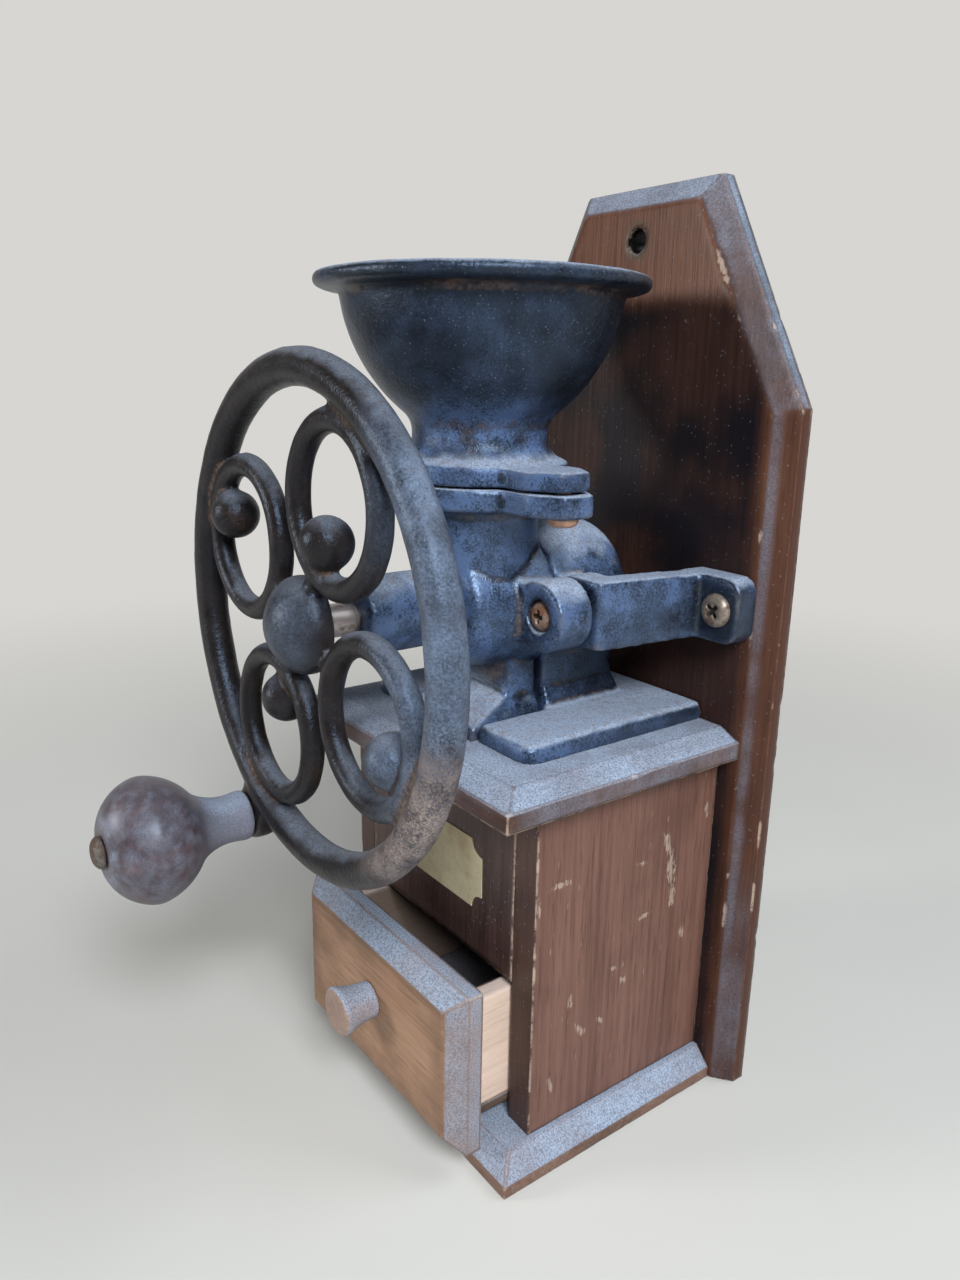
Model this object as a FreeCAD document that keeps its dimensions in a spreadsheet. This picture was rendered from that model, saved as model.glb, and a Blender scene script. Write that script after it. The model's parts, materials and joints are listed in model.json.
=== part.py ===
import FreeCAD, Part
import math
import os
import re
import Sketcher
from FreeCAD import Placement, Rotation, Vector

# Wall-hung box coffee mill: a wooden box with a drawer on a tall back board, and a cast-iron mill on
# the box, turned by a spoked hand wheel. Millimetres. +Z is up, the drawer and the wheel face -Y,
# and the origin is the middle of the base board's underside.

SIZES = [
    ("base_depth", 81.0, "base board, front edge to back board"),
    ("base_width", 103.0, "base board, side to side"),
    ("base_height", 9.0, "base board, full height"),
    ("base_band", 3.6, "upright band below the base board's slope"),
    ("base_slope", 5.0, "run of the base board's slope"),
    ("box_width", 90.0, "box over its side panels"),
    ("box_depth", 68.0, "box, front face to back board"),
    ("box_height", 98.0, "side panels, base board to top board"),
    ("side_thick", 9.0, "side panel"),
    ("front_thick", 8.0, "front panel above the drawer"),
    ("opening_height", 43.5, "drawer opening above the base board"),
    ("top_width", 103.4, "top board, side to side"),
    ("top_depth", 83.5, "top board, front edge to back board"),
    ("top_band", 5.2, "upright band below the top board's bevel"),
    ("top_rise", 3.2, "height of the top board's bevel"),
    ("top_slope", 6.9, "run of the top board's bevel"),
    ("board_width", 116.0, "back board, side to side"),
    ("board_height", 264.0, "back board"),
    ("board_thick", 9.0, "back board"),
    ("board_top_width", 52.0, "top edge left between the clipped corners"),
    ("board_clip_height", 60.0, "height of a clipped corner"),
    ("board_chamfer_width", 6.2, "front chamfer, across the face"),
    ("board_chamfer_depth", 4.8, "front chamfer, into the thickness"),
    ("hang_hole_diameter", 6.5, "hanging hole"),
    ("hang_hole_drop", 15.0, "hanging hole below the top edge"),
    ("drawer_open", 13.5, "how far the drawer stands open at rest"),
    ("drawer_front_width", 83.0, "drawer front"),
    ("drawer_front_height", 48.8, "drawer front"),
    ("drawer_front_edge", 4.7, "upright edge of the drawer front"),
    ("drawer_front_bevel", 5.0, "raised field's bevel, inset and depth"),
    ("drawer_front_gap", 0.2, "drawer front above the base board"),
    ("drawer_side_gap", 1.2, "drawer side to side panel"),
    ("drawer_side_thick", 5.5, "drawer sides and back"),
    ("drawer_side_height", 34.0, "drawer sides and back above the drawer bottom"),
    ("drawer_bottom_thick", 3.2, "drawer bottom sheet"),
    ("drawer_length", 60.0, "drawer behind its front"),
    ("drawer_slide_gap", 0.2, "drawer bottom above its runners"),
    ("runner_height", 4.0, "drawer runner"),
    ("runner_width", 8.0, "drawer runner"),
    ("runner_setback", 10.0, "runner's front end behind the box front"),
    ("drawer_knob_base", 10.6, "drawer knob diameter at the drawer front"),
    ("drawer_knob_face", 14.2, "drawer knob diameter at its face"),
    ("drawer_knob_length", 11.5, "drawer knob"),
    ("drawer_knob_raise", 2.5, "drawer knob above the middle of the drawer front"),
    ("label_width", 44.0, "paper label"),
    ("label_height", 21.0, "paper label"),
    ("label_thick", 0.3, "paper label"),
    ("label_drop", 29.5, "middle of the label below the top board"),
    ("label_scoop", 4.5, "scooped corner of the label"),
    ("shaft_rise", 35.3, "shaft axis above the top board"),
    ("shaft_diameter", 7.0, "crank shaft"),
    ("shaft_running_gap", 0.05, "shaft in its bearings, radial"),
    ("fixed_gap", 0.02, "pieces fixed together, radial"),
    ("screw_gap", 0.25, "screw in a clearance hole, radial"),
    ("split_setback", 43.0, "joint of the two housings before the back board"),
    ("split_relief", 1.2, "gap between feet and ears of the two housings"),
    ("barrel_front_radius", 17.0, "front housing at its front face"),
    ("barrel_rear_radius", 20.5, "both housings at their joint"),
    ("barrel_front_setback", 68.0, "front face of the front housing"),
    ("barrel_front_round", 3.0, "rounding of the front face's edge"),
    ("boss_radius", 10.3, "front bearing boss"),
    ("boss_setback", 95.0, "front end of the bearing boss"),
    ("boss_flare", 2.5, "root radius of the bearing boss"),
    ("feed_radius", 13.0, "feed chamber in the front housing"),
    ("feed_wall", 3.5, "front wall of the feed chamber"),
    ("burr_bore_radius", 15.0, "burr seat in the rear housing"),
    ("burr_bore_depth", 17.0, "burr seat from the joint"),
    ("rear_end_gap", 13.0, "rear housing before the back board"),
    ("rear_round", 8.0, "rounding of the rear housing's end"),
    ("rear_edge_round", 2.2, "rounding of the rear housing at the joint"),
    ("bearing_wall", 3.5, "metal behind the blind rear bearing"),
    ("hopper_setback", 55.0, "hopper axis before the back board"),
    ("throat_radius", 16.5, "hopper throat of the front housing"),
    ("throat_bore", 11.0, "radius of the bean passage"),
    ("throat_flare", 3.0, "root radius under the flange"),
    ("flange_radius", 24.0, "round part of both flanges"),
    ("flange_rise", 27.3, "underside of the housing flange above the shaft axis"),
    ("flange_thick", 5.8, "housing flange"),
    ("flange_ear_reach", 39.3, "hopper's flange ear from the hopper axis"),
    ("flange_ear_extra", 1.6, "housing's flange ear past the hopper's"),
    ("flange_ear_tip", 9.0, "width of the ear's end"),
    ("flange_ear_root", 19.0, "width of the ear's root"),
    ("flange_ear_shoulder", 31.0, "where the ear begins to narrow"),
    ("flange_screw_reach", 34.8, "hopper screw from the hopper axis"),
    ("hopper_land", 0.6, "raised ring under the hopper flange"),
    ("hopper_land_radius", 17.5, "raised ring under the hopper flange"),
    ("hopper_flange_thick", 4.9, "hopper flange"),
    ("hopper_neck_radius", 18.2, "hopper neck"),
    ("hopper_neck_height", 13.0, "narrowest neck above the hopper's foot"),
    ("hopper_bowl_radius", 36.9, "bowl below the rim"),
    ("hopper_bowl_height", 47.6, "underside of the rim above the hopper's foot"),
    ("hopper_belly_radius", 30.4, "bowl at mid height"),
    ("hopper_belly_height", 29.0, "bowl's mid height above the hopper's foot"),
    ("hopper_rim_radius", 43.4, "rim over its bead"),
    ("hopper_rim_height", 4.3, "rim bead"),
    ("hopper_wall", 3.4, "hopper wall"),
    ("ear_reach", 25.5, "housing screw beside the shaft axis"),
    ("ear_radius", 9.6, "round end of a housing ear"),
    ("ear_thick", 11.5, "front ear"),
    ("ear_web", 8.0, "half height of the web behind an ear's round end"),
    ("rear_ear_thick", 9.0, "rear ear"),
    ("ear_recess_radius", 4.7, "recess for the housing screw's head"),
    ("ear_recess_depth", 2.6, "recess for the housing screw's head"),
    ("arm_thick", 8.0, "bracket arm, across"),
    ("arm_half_height", 9.4, "bracket arm at the ear, above and below the axis"),
    ("arm_end_half_height", 8.9, "bracket arm at its pad"),
    ("arm_spread", 5.2, "how far an arm leans outward"),
    ("pad_thick", 8.0, "bracket pad on the back board"),
    ("pad_outer", 53.0, "outer end of a pad from the middle"),
    ("pad_width", 20.0, "bracket pad"),
    ("pad_half_height", 9.2, "bracket pad above and below the axis"),
    ("pad_corner", 4.5, "rounded outer corner of a pad"),
    ("pad_screw_reach", 46.2, "bracket screw from the middle"),
    ("plate_width", 75.0, "base plate of the rear housing"),
    ("plate_front_setback", 66.0, "front edge of the base plate"),
    ("plate_back_gap", 0.5, "base plate before the back board"),
    ("plate_thick", 5.0, "base plate"),
    ("plate_edge_round", 2.2, "rounded upper edge of the base plate"),
    ("plate_corner_round", 4.0, "rounded corner of the base plate"),
    ("plate_screw_inset", 17.0, "plate screws inside the box sides"),
    ("plate_screw_front", 55.0, "front plate screws before the back board"),
    ("plate_screw_back", 9.0, "back plate screws before the back board"),
    ("leg_width", 28.0, "rear leg"),
    ("leg_back_setback", 15.0, "back of the rear leg"),
    ("leg_flare", 2.4, "spread of the rear leg's root"),
    ("leg_flare_height", 6.0, "height of the rear leg's root"),
    ("chute_width", 18.0, "chute for the ground coffee"),
    ("chute_front_setback", 39.0, "chute's front wall"),
    ("chute_back_setback", 28.0, "chute's back wall"),
    ("foot_width", 25.0, "front foot below the barrel"),
    ("foot_front_setback", 53.0, "front of the front foot below the barrel"),
    ("foot_toe_setback", 67.5, "front edge of the front foot"),
    ("foot_toe_width", 31.2, "front foot on the top board"),
    ("foot_toe_thick", 3.5, "edge of the front foot"),
    ("foot_flare_height", 13.5, "height of the front foot's hollow curve"),
    ("foot_side_flare_height", 6.0, "height of the front foot's side slopes"),
    ("foot_gap", 0.6, "front foot in the base plate's notch, per side"),
    ("burr_seat_gap", 0.05, "ring burr in its seat, radial"),
    ("ring_burr_inner", 12.5, "inner radius of the ring burr"),
    ("ring_burr_length", 9.0, "ring burr"),
    ("burr_gap", 0.5, "grinding gap between the burrs"),
    ("burr_front_setback", 58.0, "front end of the cone burr"),
    ("burr_front_radius", 7.0, "cone burr at its front end"),
    ("burr_back_setback", 28.5, "back end of the cone burr"),
    ("burr_flute_radius", 1.7, "flute of the cone burr"),
    ("ring_flute_radius", 0.8, "tooth gap of the ring burr"),
    ("burr_pin_radius", 1.2, "cross pin of the cone burr"),
    ("burr_pin_setback", 50.0, "cross pin of the cone burr"),
    ("burr_pin_length", 13.0, "cross pin of the cone burr"),
    ("washer_radius", 9.0, "thrust washer"),
    ("washer_thick", 1.6, "thrust washer"),
    ("shaft_back_setback", 17.0, "back end of the shaft"),
    ("shaft_front_setback", 115.0, "front end of the shaft in the hub"),
    ("collar_wall", 0.8, "collar between hub and boss, around the shaft"),
    ("collar_gap", 0.5, "collar before the boss"),
    ("collar_round", 0.4, "rounded end of the collar"),
    ("wheel_setback", 108.0, "middle plane of the hand wheel"),
    ("wheel_angle", 61.0, "turn of the first spoke loop at rest"),
    ("rim_radius", 62.0, "middle of the wheel rim"),
    ("rim_thick", 9.0, "wheel rim"),
    ("loop_rim_gap", 6.7, "spoke loop before the rim, between their middle lines"),
    ("loop_hub_reach", 16.7, "hub side of a spoke loop's middle line from the axis"),
    ("loop_thick", 6.2, "spoke loop"),
    ("root_thick", 5.2, "bar in the joint of a spoke loop"),
    ("ball_radius", 6.6, "ball in a spoke loop"),
    ("ball_bite", 0.9, "ball let into its loop"),
    ("hub_radius", 12.4, "domed hub"),
    ("hub_back_setback", 106.0, "back face of the hub"),
    ("hub_edge_setback", 110.2, "edge of the hub's dome"),
    ("hub_rise", 7.8, "height of the hub's dome"),
    ("lug_reach", 12.0, "knob axis outside the rim's middle line"),
    ("lug_radius", 7.4, "lug that carries the knob"),
    ("lug_thick", 6.2, "lug that carries the knob"),
    ("lug_web", 13.0, "web between lug and rim"),
    ("knob_end_gap", 0.3, "knob's end play, each end"),
    ("knob_length", 41.0, "crank knob"),
    ("knob_radius", 17.9, "crank knob's ball"),
    ("knob_ball_distance", 29.0, "widest part from the knob's back end"),
    ("knob_neck_radius", 6.9, "knob's neck"),
    ("knob_neck_distance", 8.0, "narrowest part from the knob's back end"),
    ("knob_end_radius", 7.3, "ring at the knob's back end"),
    ("knob_end_length", 2.4, "ring at the knob's back end"),
    ("knob_face_radius", 7.8, "flat face at the knob's front"),
    ("knob_bolt_radius", 3.0, "knob bolt"),
    ("knob_running_gap", 0.06, "knob on its bolt, radial"),
    ("knob_bolt_head_radius", 4.6, "knob bolt's head"),
    ("knob_bolt_head_height", 2.6, "knob bolt's head"),
    ("knob_nut_radius", 5.5, "nut over its corners, radius"),
    ("knob_nut_thick", 4.4, "nut on the knob bolt"),
    ("knob_bolt_end", 1.0, "knob bolt past its nut"),
    ("screw_radius", 2.0, "machine screw"),
    ("wood_screw_radius", 1.75, "wood screw"),
    ("screw_head_radius", 3.9, "pan head"),
    ("pad_screw_head_radius", 4.7, "pan head of a bracket screw"),
    ("screw_head_height", 2.4, "pan head"),
    ("screw_cross_width", 1.2, "cross recess of a pan head"),
    ("screw_cross_depth", 1.3, "cross recess of a pan head"),
    ("pad_screw_depth", 6.5, "bracket screw in the back board"),
    ("plate_screw_depth", 4.0, "plate screw in the base plate"),
    ("board_screw_depth", 16.0, "board screw in a side panel"),
    ("board_screw_low", 30.0, "lower board screws above the table"),
    ("board_screw_high", 88.0, "upper board screws above the table"),
    ("drawer_screw_depth", 8.0, "drawer knob screw in its knob"),
]

doc = FreeCAD.newDocument("box_coffee_mill")
sheet = doc.addObject("Spreadsheet::Sheet", "Sizes")
for row, (alias, value, note) in enumerate(SIZES, start=1):
    sheet.set("A%d" % row, note)
    sheet.set("B%d" % row, str(value))
    sheet.setAlias("B%d" % row, alias)
doc.recompute()
ALIASES = set(alias for alias, value, note in SIZES)

# Heights, depths and radii that several pieces share, as formulas of the sizes.
DERIVED = {
    "shaft_height": "(base_height + box_height + top_band + top_rise + shaft_rise)",
    "flange_bottom": "(shaft_height + flange_rise)",
    "loop_radius": "((rim_radius - loop_rim_gap - loop_hub_reach) / 2)",
    "loop_distance": "((rim_radius - loop_rim_gap + loop_hub_reach) / 2)",
    "crank_radius": "(rim_radius + lug_reach)",
    "plate_screw_reach": "(box_width / 2 - plate_screw_inset)",
    "collar_radius": "(shaft_diameter / 2 + collar_wall)",
}
BOARD_FACE = "base_depth / 2"
BOX_FRONT = "(base_depth / 2 - box_depth)"
BOX_TOP = "(base_height + box_height)"
TABLE_TOP = "(base_height + box_height + top_band + top_rise)"
PLATE_TOP = "(base_height + box_height + top_band + top_rise + plate_thick)"
INNER_HALF = "(box_width / 2 - side_thick)"
DRAWER_BACK = "(base_depth / 2 - box_depth - drawer_open)"
DRAWER_HALF = "(box_width / 2 - side_thick - drawer_side_gap)"
DRAWER_FLOOR = "(base_height + runner_height + drawer_slide_gap)"
DRAWER_KNOB_Z = "(base_height + drawer_front_gap + drawer_front_height / 2 + drawer_knob_raise)"
DRAWER_FACE = "(base_depth / 2 - box_depth - drawer_open - drawer_front_edge - drawer_front_bevel)"
HOPPER_FOOT = "(flange_bottom + flange_thick)"
HOPPER_Y = "(base_depth / 2 - hopper_setback)"
KNOB_X = "(-crank_radius * cos(wheel_angle))"
KNOB_Z = "(shaft_height - crank_radius * sin(wheel_angle))"
LUG_BACK = "(wheel_setback - lug_thick / 2)"
KNOB_BACK = "(wheel_setback + lug_thick / 2 + knob_end_gap)"
REAR_FRONT = "(split_setback - split_relief)"
ARM_OUTER = "(ear_reach + ear_radius)"


def formula(text):
    """Put the sheet's name before each alias in a formula, and write derived sizes out."""
    def named(match):
        word = match.group(0)
        if word in DERIVED:
            return formula(DERIVED[word])
        return "Sizes." + word if word in ALIASES else word
    return re.sub(r"[a-z_]+", named, text)


def number(text):
    """The value of a formula."""
    return float(sheet.evalExpression(formula(text)))


def setback(text):
    """The Y of a point given by its distance before the back board."""
    return "base_depth / 2 - (%s)" % text


def bind(thing, **formulas):
    for name, text in formulas.items():
        thing.setExpression(name, formula(text))
    return thing


def place(thing, x="0", y="0", z="0", axis=Vector(0, 0, 1), angle=0):
    corner = Vector(number(x), number(y), number(z))
    thing.Placement = Placement(corner, Rotation(axis, angle))
    for name, text in (("x", x), ("y", y), ("z", z)):
        thing.setExpression("Placement.Base." + name, formula(text))
    return thing


def block(name, x, y, z):
    """A box between two formulas along each axis."""
    thing = doc.addObject("Part::Box", name)
    bind(thing, Length="(%s) - (%s)" % (x[1], x[0]))
    bind(thing, Width="(%s) - (%s)" % (y[1], y[0]), Height="(%s) - (%s)" % (z[1], z[0]))
    return place(thing, x[0], y[0], z[0])


UPRIGHT = (Vector(0, 0, 1), 0)
BACKWARD = (Vector(1, 0, 0), -90)
SIDEWAYS = (Vector(0, 1, 0), 90)


def rod(name, radius, length, x, y, z, way=UPRIGHT):
    """A cylinder from a point, upward, backward (+Y) or sideways (+X)."""
    thing = bind(doc.addObject("Part::Cylinder", name), Radius=radius, Height=length)
    return place(thing, x, y, z, *way)


def frustum(name, low, high, rise, origin, axis, angle):
    """A block whose far face is smaller: low and high are (x from, x to, z from, z to)."""
    thing = bind(doc.addObject("Part::Wedge", name), Ymin="0", Ymax=rise)
    bind(thing, Xmin=low[0], Xmax=low[1], Zmin=low[2], Zmax=low[3])
    bind(thing, X2min=high[0], X2max=high[1], Z2min=high[2], Z2max=high[3])
    return place(thing, origin[0], origin[1], origin[2], axis, angle)


def fuse(name, pieces):
    thing = doc.addObject("Part::MultiFuse", name)
    thing.Shapes = pieces
    thing.Refine = True
    return thing


def cut(name, base, tools):
    thing = doc.addObject("Part::Cut", name)
    thing.Base = base
    thing.Tool = tools[0] if len(tools) == 1 else fuse(name + "_tools", tools)
    return thing


def group(name, pieces):
    thing = doc.addObject("Part::Compound", name)
    thing.Links = pieces
    return thing


def plane_of(body, role):
    return [item for item in body.Origin.OriginFeatures if item.Role == role][0]


def arc_through(begin, via, end):
    """A left-turning arc through three points, and whether it runs from begin to end."""
    found = Part.Circle(begin, via, end)
    centre = found.Center
    forward = (via - begin).cross(end - via).z > 0
    ends = (begin, end) if forward else (end, begin)
    angles = [math.atan2(spot.y - centre.y, spot.x - centre.x) for spot in ends]
    circle = Part.Circle(centre, Vector(0, 0, 1), found.Radius)
    return Part.ArcOfCircle(circle, angles[0], angles[1]), forward


def outline(body, name, role, path, offset="0"):
    """A closed sketch. A path point is (x, y), or (x, y, via x, via y) where an arc leads to it."""
    sketch = body.newObject("Sketcher::SketchObject", name)
    sketch.AttachmentSupport = (plane_of(body, role), [""])
    sketch.MapMode = "FlatFace"
    if offset != "0":
        sketch.AttachmentOffset = Placement(Vector(0, 0, number(offset)), Rotation())
        sketch.setExpression("AttachmentOffset.Base.z", formula(offset))
    spots = [Vector(number(point[0]), number(point[1]), 0) for point in path]
    count = len(path)
    starts = []
    vias = []
    for index in range(count):
        begin = spots[index]
        following = (index + 1) % count
        end = spots[following]
        if len(path[following]) == 4:
            via = Vector(number(path[following][2]), number(path[following][3]), 0)
            arc, forward = arc_through(begin, via, end)
            edge = sketch.addGeometry(arc, False)
            starts.append((edge, 1 if forward else 2))
            vias.append((edge, via, path[following][2:]))
        else:
            edge = sketch.addGeometry(Part.LineSegment(begin, end), False)
            starts.append((edge, 1))
    for index in range(count):
        edge, first = starts[index]
        next_edge, next_first = starts[(index + 1) % count]
        sketch.addConstraint(Sketcher.Constraint("Coincident", edge, 3 - first, next_edge, next_first))
    held = [(starts[i][0], starts[i][1], path[i][:2], spots[i]) for i in range(count)]
    for edge, via, texts in vias:
        spot = sketch.addGeometry(Part.Point(via), True)
        sketch.addConstraint(Sketcher.Constraint("PointOnObject", spot, 1, edge))
        held.append((spot, 1, texts, via))
    for edge, end, texts, spot in held:
        for kind, text, value in (("DistanceX", texts[0], spot.x), ("DistanceY", texts[1], spot.y)):
            which = sketch.addConstraint(Sketcher.Constraint(kind, -1, 1, edge, end, value))
            sketch.setExpression("Constraints[%d]" % which, formula(text))
    return sketch


def turned(name, path, x="0", z="shaft_height"):
    """A solid of revolution on an axis along Y. Path points are (radius, distance before the board)."""
    body = doc.addObject("PartDesign::Body", name)
    points = []
    for point in path:
        pair = [point[0], "-(%s)" % point[1]]
        if len(point) == 4:
            pair += [point[2], "-(%s)" % point[3]]
        points.append(tuple(pair))
    sketch = outline(body, name + "_profile", "XY_Plane", points)
    solid = body.newObject("PartDesign::Revolution", name + "_turn")
    solid.Profile = sketch
    solid.ReferenceAxis = (sketch, ["V_Axis"])
    solid.Angle = 360
    return place(body, x, BOARD_FACE, z)


def turned_upright(name, path, x, y, z="0"):
    """A solid of revolution on an upright axis. Path points are (radius, height)."""
    body = doc.addObject("PartDesign::Body", name)
    sketch = outline(body, name + "_profile", "XZ_Plane", path)
    solid = body.newObject("PartDesign::Revolution", name + "_turn")
    solid.Profile = sketch
    solid.ReferenceAxis = (sketch, ["V_Axis"])
    solid.Angle = 360
    return place(body, x, y, z)


def padded(name, role, path, length, middle=False):
    """A prism on one of the three planes through the body's origin."""
    body = doc.addObject("PartDesign::Body", name)
    pad = body.newObject("PartDesign::Pad", name + "_pad")
    pad.Profile = outline(body, name + "_outline", role, path)
    pad.Midplane = middle
    bind(pad, Length=length)
    body.Tip = pad
    return body


def rounded(body, name, radius, wanted):
    """Round the edges of a body whose middle point passes a test."""
    doc.recompute()
    base = body.Tip
    edges = []
    for index, edge in enumerate(base.Shape.Edges, start=1):
        if wanted(edge.valueAt((edge.FirstParameter + edge.LastParameter) / 2)):
            edges.append("Edge%d" % index)
    fillet = body.newObject("PartDesign::Fillet", name)
    fillet.Base = (base, edges)
    bind(fillet, Radius=radius)
    body.Tip = fillet
    return body


def flutes(body, name, circle_radius, distance, copies):
    """Even round grooves along Y, cut around a body turned on the Y axis."""
    sketch = body.newObject("Sketcher::SketchObject", name + "_circle")
    sketch.AttachmentSupport = (plane_of(body, "XZ_Plane"), [""])
    sketch.MapMode = "FlatFace"
    centre = Vector(number(distance), 0, 0)
    sketch.addGeometry(Part.Circle(centre, Vector(0, 0, 1), number(circle_radius)), False)
    sketch.addConstraint(Sketcher.Constraint("PointOnObject", 0, 3, -1))
    reach = sketch.addConstraint(Sketcher.Constraint("DistanceX", -1, 1, 0, 3, centre.x))
    sketch.setExpression("Constraints[%d]" % reach, formula(distance))
    width = sketch.addConstraint(Sketcher.Constraint("Radius", 0, number(circle_radius)))
    sketch.setExpression("Constraints[%d]" % width, formula(circle_radius))
    doc.recompute()
    before = body.Tip.Shape.Volume
    groove = body.newObject("PartDesign::Pocket", name)
    groove.Profile = sketch
    groove.Type = "ThroughAll"
    groove.Midplane = True
    doc.recompute()
    assert groove.Shape.Volume < before, name + " cuts nothing"
    pattern = body.newObject("PartDesign::PolarPattern", name + "_pattern")
    pattern.Originals = [groove]
    pattern.Axis = (plane_of(body, "Y_Axis"), [""])
    pattern.Angle = 360
    pattern.Occurrences = copies
    body.Tip = pattern
    return body


def turned_way(way):
    """A way with an eighth of a turn about itself."""
    turn = Rotation(*way) * Rotation(Vector(0, 0, 1), 45)
    return (turn.Axis, math.degrees(turn.Angle))


def pan_screw(name, head_radius, shank_radius, length, x, y, z, way):
    """A pan-head screw: its seat is at the given point and its shank runs the given way."""
    path = [
        ("0", "-screw_head_height"),
        (head_radius + " * 0.55", "-screw_head_height"),
        (head_radius, "-screw_head_height * 0.25", head_radius + " * 0.88", "-screw_head_height * 0.72"),
        (head_radius, "0"),
        (shank_radius, "0"),
        (shank_radius, length),
        ("0", length),
    ]
    solid = turned_upright(name + "_blank", path, "0", "0")
    half = "screw_cross_width / 2"
    span = head_radius + " * 0.47"
    floor = "-screw_head_height - 1"
    top = "screw_cross_depth - screw_head_height"
    bars = [
        block(name + "_slot_a", ("-(%s)" % span, span), ("-" + half, half), (floor, top)),
        block(name + "_slot_b", ("-" + half, half), ("-(%s)" % span, span), (floor, top)),
    ]
    return place(cut(name, solid, bars), x, y, z, *way)


NODES = []


def node(label, thing):
    """Name a finished piece."""
    thing.Label = label
    NODES.append(thing)
    return thing


# Wooden case

def board_outline(inset):
    """Back board outline with clipped upper corners, set in by a chamfer width."""
    run = "((board_width - board_top_width) / 2)"
    slant = "sqrt(%s ^ 2 + board_clip_height ^ 2)" % run
    side = "board_width / 2 - (%s)" % inset
    corner = "board_height - board_clip_height - (%s) * (%s - board_clip_height) / %s" % (inset, slant, run)
    top_half = "board_top_width / 2 - (%s) * (%s - %s) / board_clip_height" % (inset, slant, run)
    top = "board_height - (%s)" % inset
    right = [(side, "0"), (side, corner), (top_half, top)]
    left = [("-(%s)" % x, z) for x, z in reversed(right)]
    return right + left


SCREW_HEIGHTS = ("board_screw_low", "board_screw_high")
SIDES = (("left", "-"), ("right", ""))


def back_board():
    body = doc.addObject("PartDesign::Body", "board")
    outer = outline(body, "board_outer", "XZ_Plane", board_outline("0"), "-board_chamfer_depth")
    inner = outline(body, "board_inner", "XZ_Plane", board_outline("board_chamfer_width"))
    slab = body.newObject("PartDesign::Pad", "board_slab")
    slab.Profile = outer
    slab.Reversed = True
    bind(slab, Length="board_thick - board_chamfer_depth")
    chamfer = body.newObject("PartDesign::AdditiveLoft", "board_chamfer")
    chamfer.Profile = outer
    chamfer.Sections = [inner]
    chamfer.Ruled = True
    body.Tip = chamfer
    place(body, "0", BOARD_FACE, "0")
    holes = [rod("hang_hole", "hang_hole_diameter / 2", "board_thick + 2", "0", BOARD_FACE + " - 1",
                 "board_height - hang_hole_drop", BACKWARD)]
    for side, sign in SIDES:
        holes.append(rod("pad_pilot_" + side, "wood_screw_radius + fixed_gap", "pad_screw_depth + 0.5",
                         sign + "pad_screw_reach", BOARD_FACE, "shaft_height", BACKWARD))
        for level in SCREW_HEIGHTS:
            holes.append(board_screw("board_hole_%s_%s" % (side, level), sign, level, "fixed_gap"))
    return cut("back_board_cut", body, holes)


def board_screw(name, sign, level, gap):
    """A countersunk wood screw through the back board into a side panel, or its hole."""
    shank = "wood_screw_radius + " + gap
    head = "wood_screw_radius * 2 + " + gap
    path = [
        ("0", "-board_thick"),
        (head, "-board_thick"),
        (shank, "-board_thick + wood_screw_radius"),
        (shank, "board_screw_depth"),
        ("0", "board_screw_depth"),
    ]
    return turned(name, path, sign + "(box_width / 2 - side_thick / 2)", level)


node("back_board", back_board())
node("board_screws", group("board_screw_group", [
    board_screw("board_screw_%s_%s" % (side, level), sign, level, "0")
    for side, sign in SIDES for level in SCREW_HEIGHTS]))


def bevelled_board(name, width, depth, bottom, band, rise, slope):
    """A board with a sloped upper edge on its front and sides, its back edge on the back board."""
    half = "(%s / 2)" % width
    flat = "%s / 2 - %s" % (width, slope)
    slab = block(name + "_band", ("-" + half, half), (setback(depth), BOARD_FACE),
                 (bottom, "%s + %s" % (bottom, band)))
    slopes = frustum(name + "_slope", ("-" + half, half, "0", depth),
                     ("-(%s)" % flat, flat, "0", "%s - %s" % (depth, slope)), rise,
                     ("0", BOARD_FACE, "%s + %s" % (bottom, band)), Vector(1, 0, 0), 90)
    return fuse(name + "_solid", [slab, slopes])


node("base_board", bevelled_board("base", "base_width", "base_depth", "0", "base_band",
                                  "(base_height - base_band)", "base_slope"))

PLATE_SCREWS = [(sign, reach) for sign in ("-", "") for reach in ("plate_screw_front", "plate_screw_back")]


def chute_block(name, bottom, top):
    half = "chute_width / 2"
    ends = (setback("chute_front_setback"), setback("chute_back_setback"))
    return block(name, ("-" + half, half), ends, (bottom, top))


def top_board():
    solid = bevelled_board("top", "top_width", "top_depth", BOX_TOP, "top_band", "top_rise", "top_slope")
    holes = [chute_block("top_chute", BOX_TOP + " - 1", TABLE_TOP + " + 1")]
    for index, (sign, reach) in enumerate(PLATE_SCREWS):
        holes.append(rod("plate_clearance_%d" % index, "wood_screw_radius + screw_gap",
                         "top_band + top_rise + 2", sign + "plate_screw_reach", setback(reach),
                         BOX_TOP + " - 1"))
    return cut("top_board_cut", solid, holes)


node("top_board", top_board())


def side_panel(side, sign):
    ends = [sign + INNER_HALF, sign + "(box_width / 2)"]
    if sign:
        ends.reverse()
    slab = block(side + "_slab", ends, (BOX_FRONT, BOARD_FACE), ("base_height", BOX_TOP))
    holes = [board_screw("%s_pilot_%s" % (side, level), sign, level, "fixed_gap") for level in SCREW_HEIGHTS]
    return cut(side + "_panel_cut", slab, holes)


for side, sign in SIDES:
    node(side + "_side_panel", side_panel(side, sign))

node("front_panel", block("front_slab", ("-" + INNER_HALF, INNER_HALF),
                          (BOX_FRONT, BOX_FRONT + " + front_thick"),
                          ("base_height + opening_height", BOX_TOP)))

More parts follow.
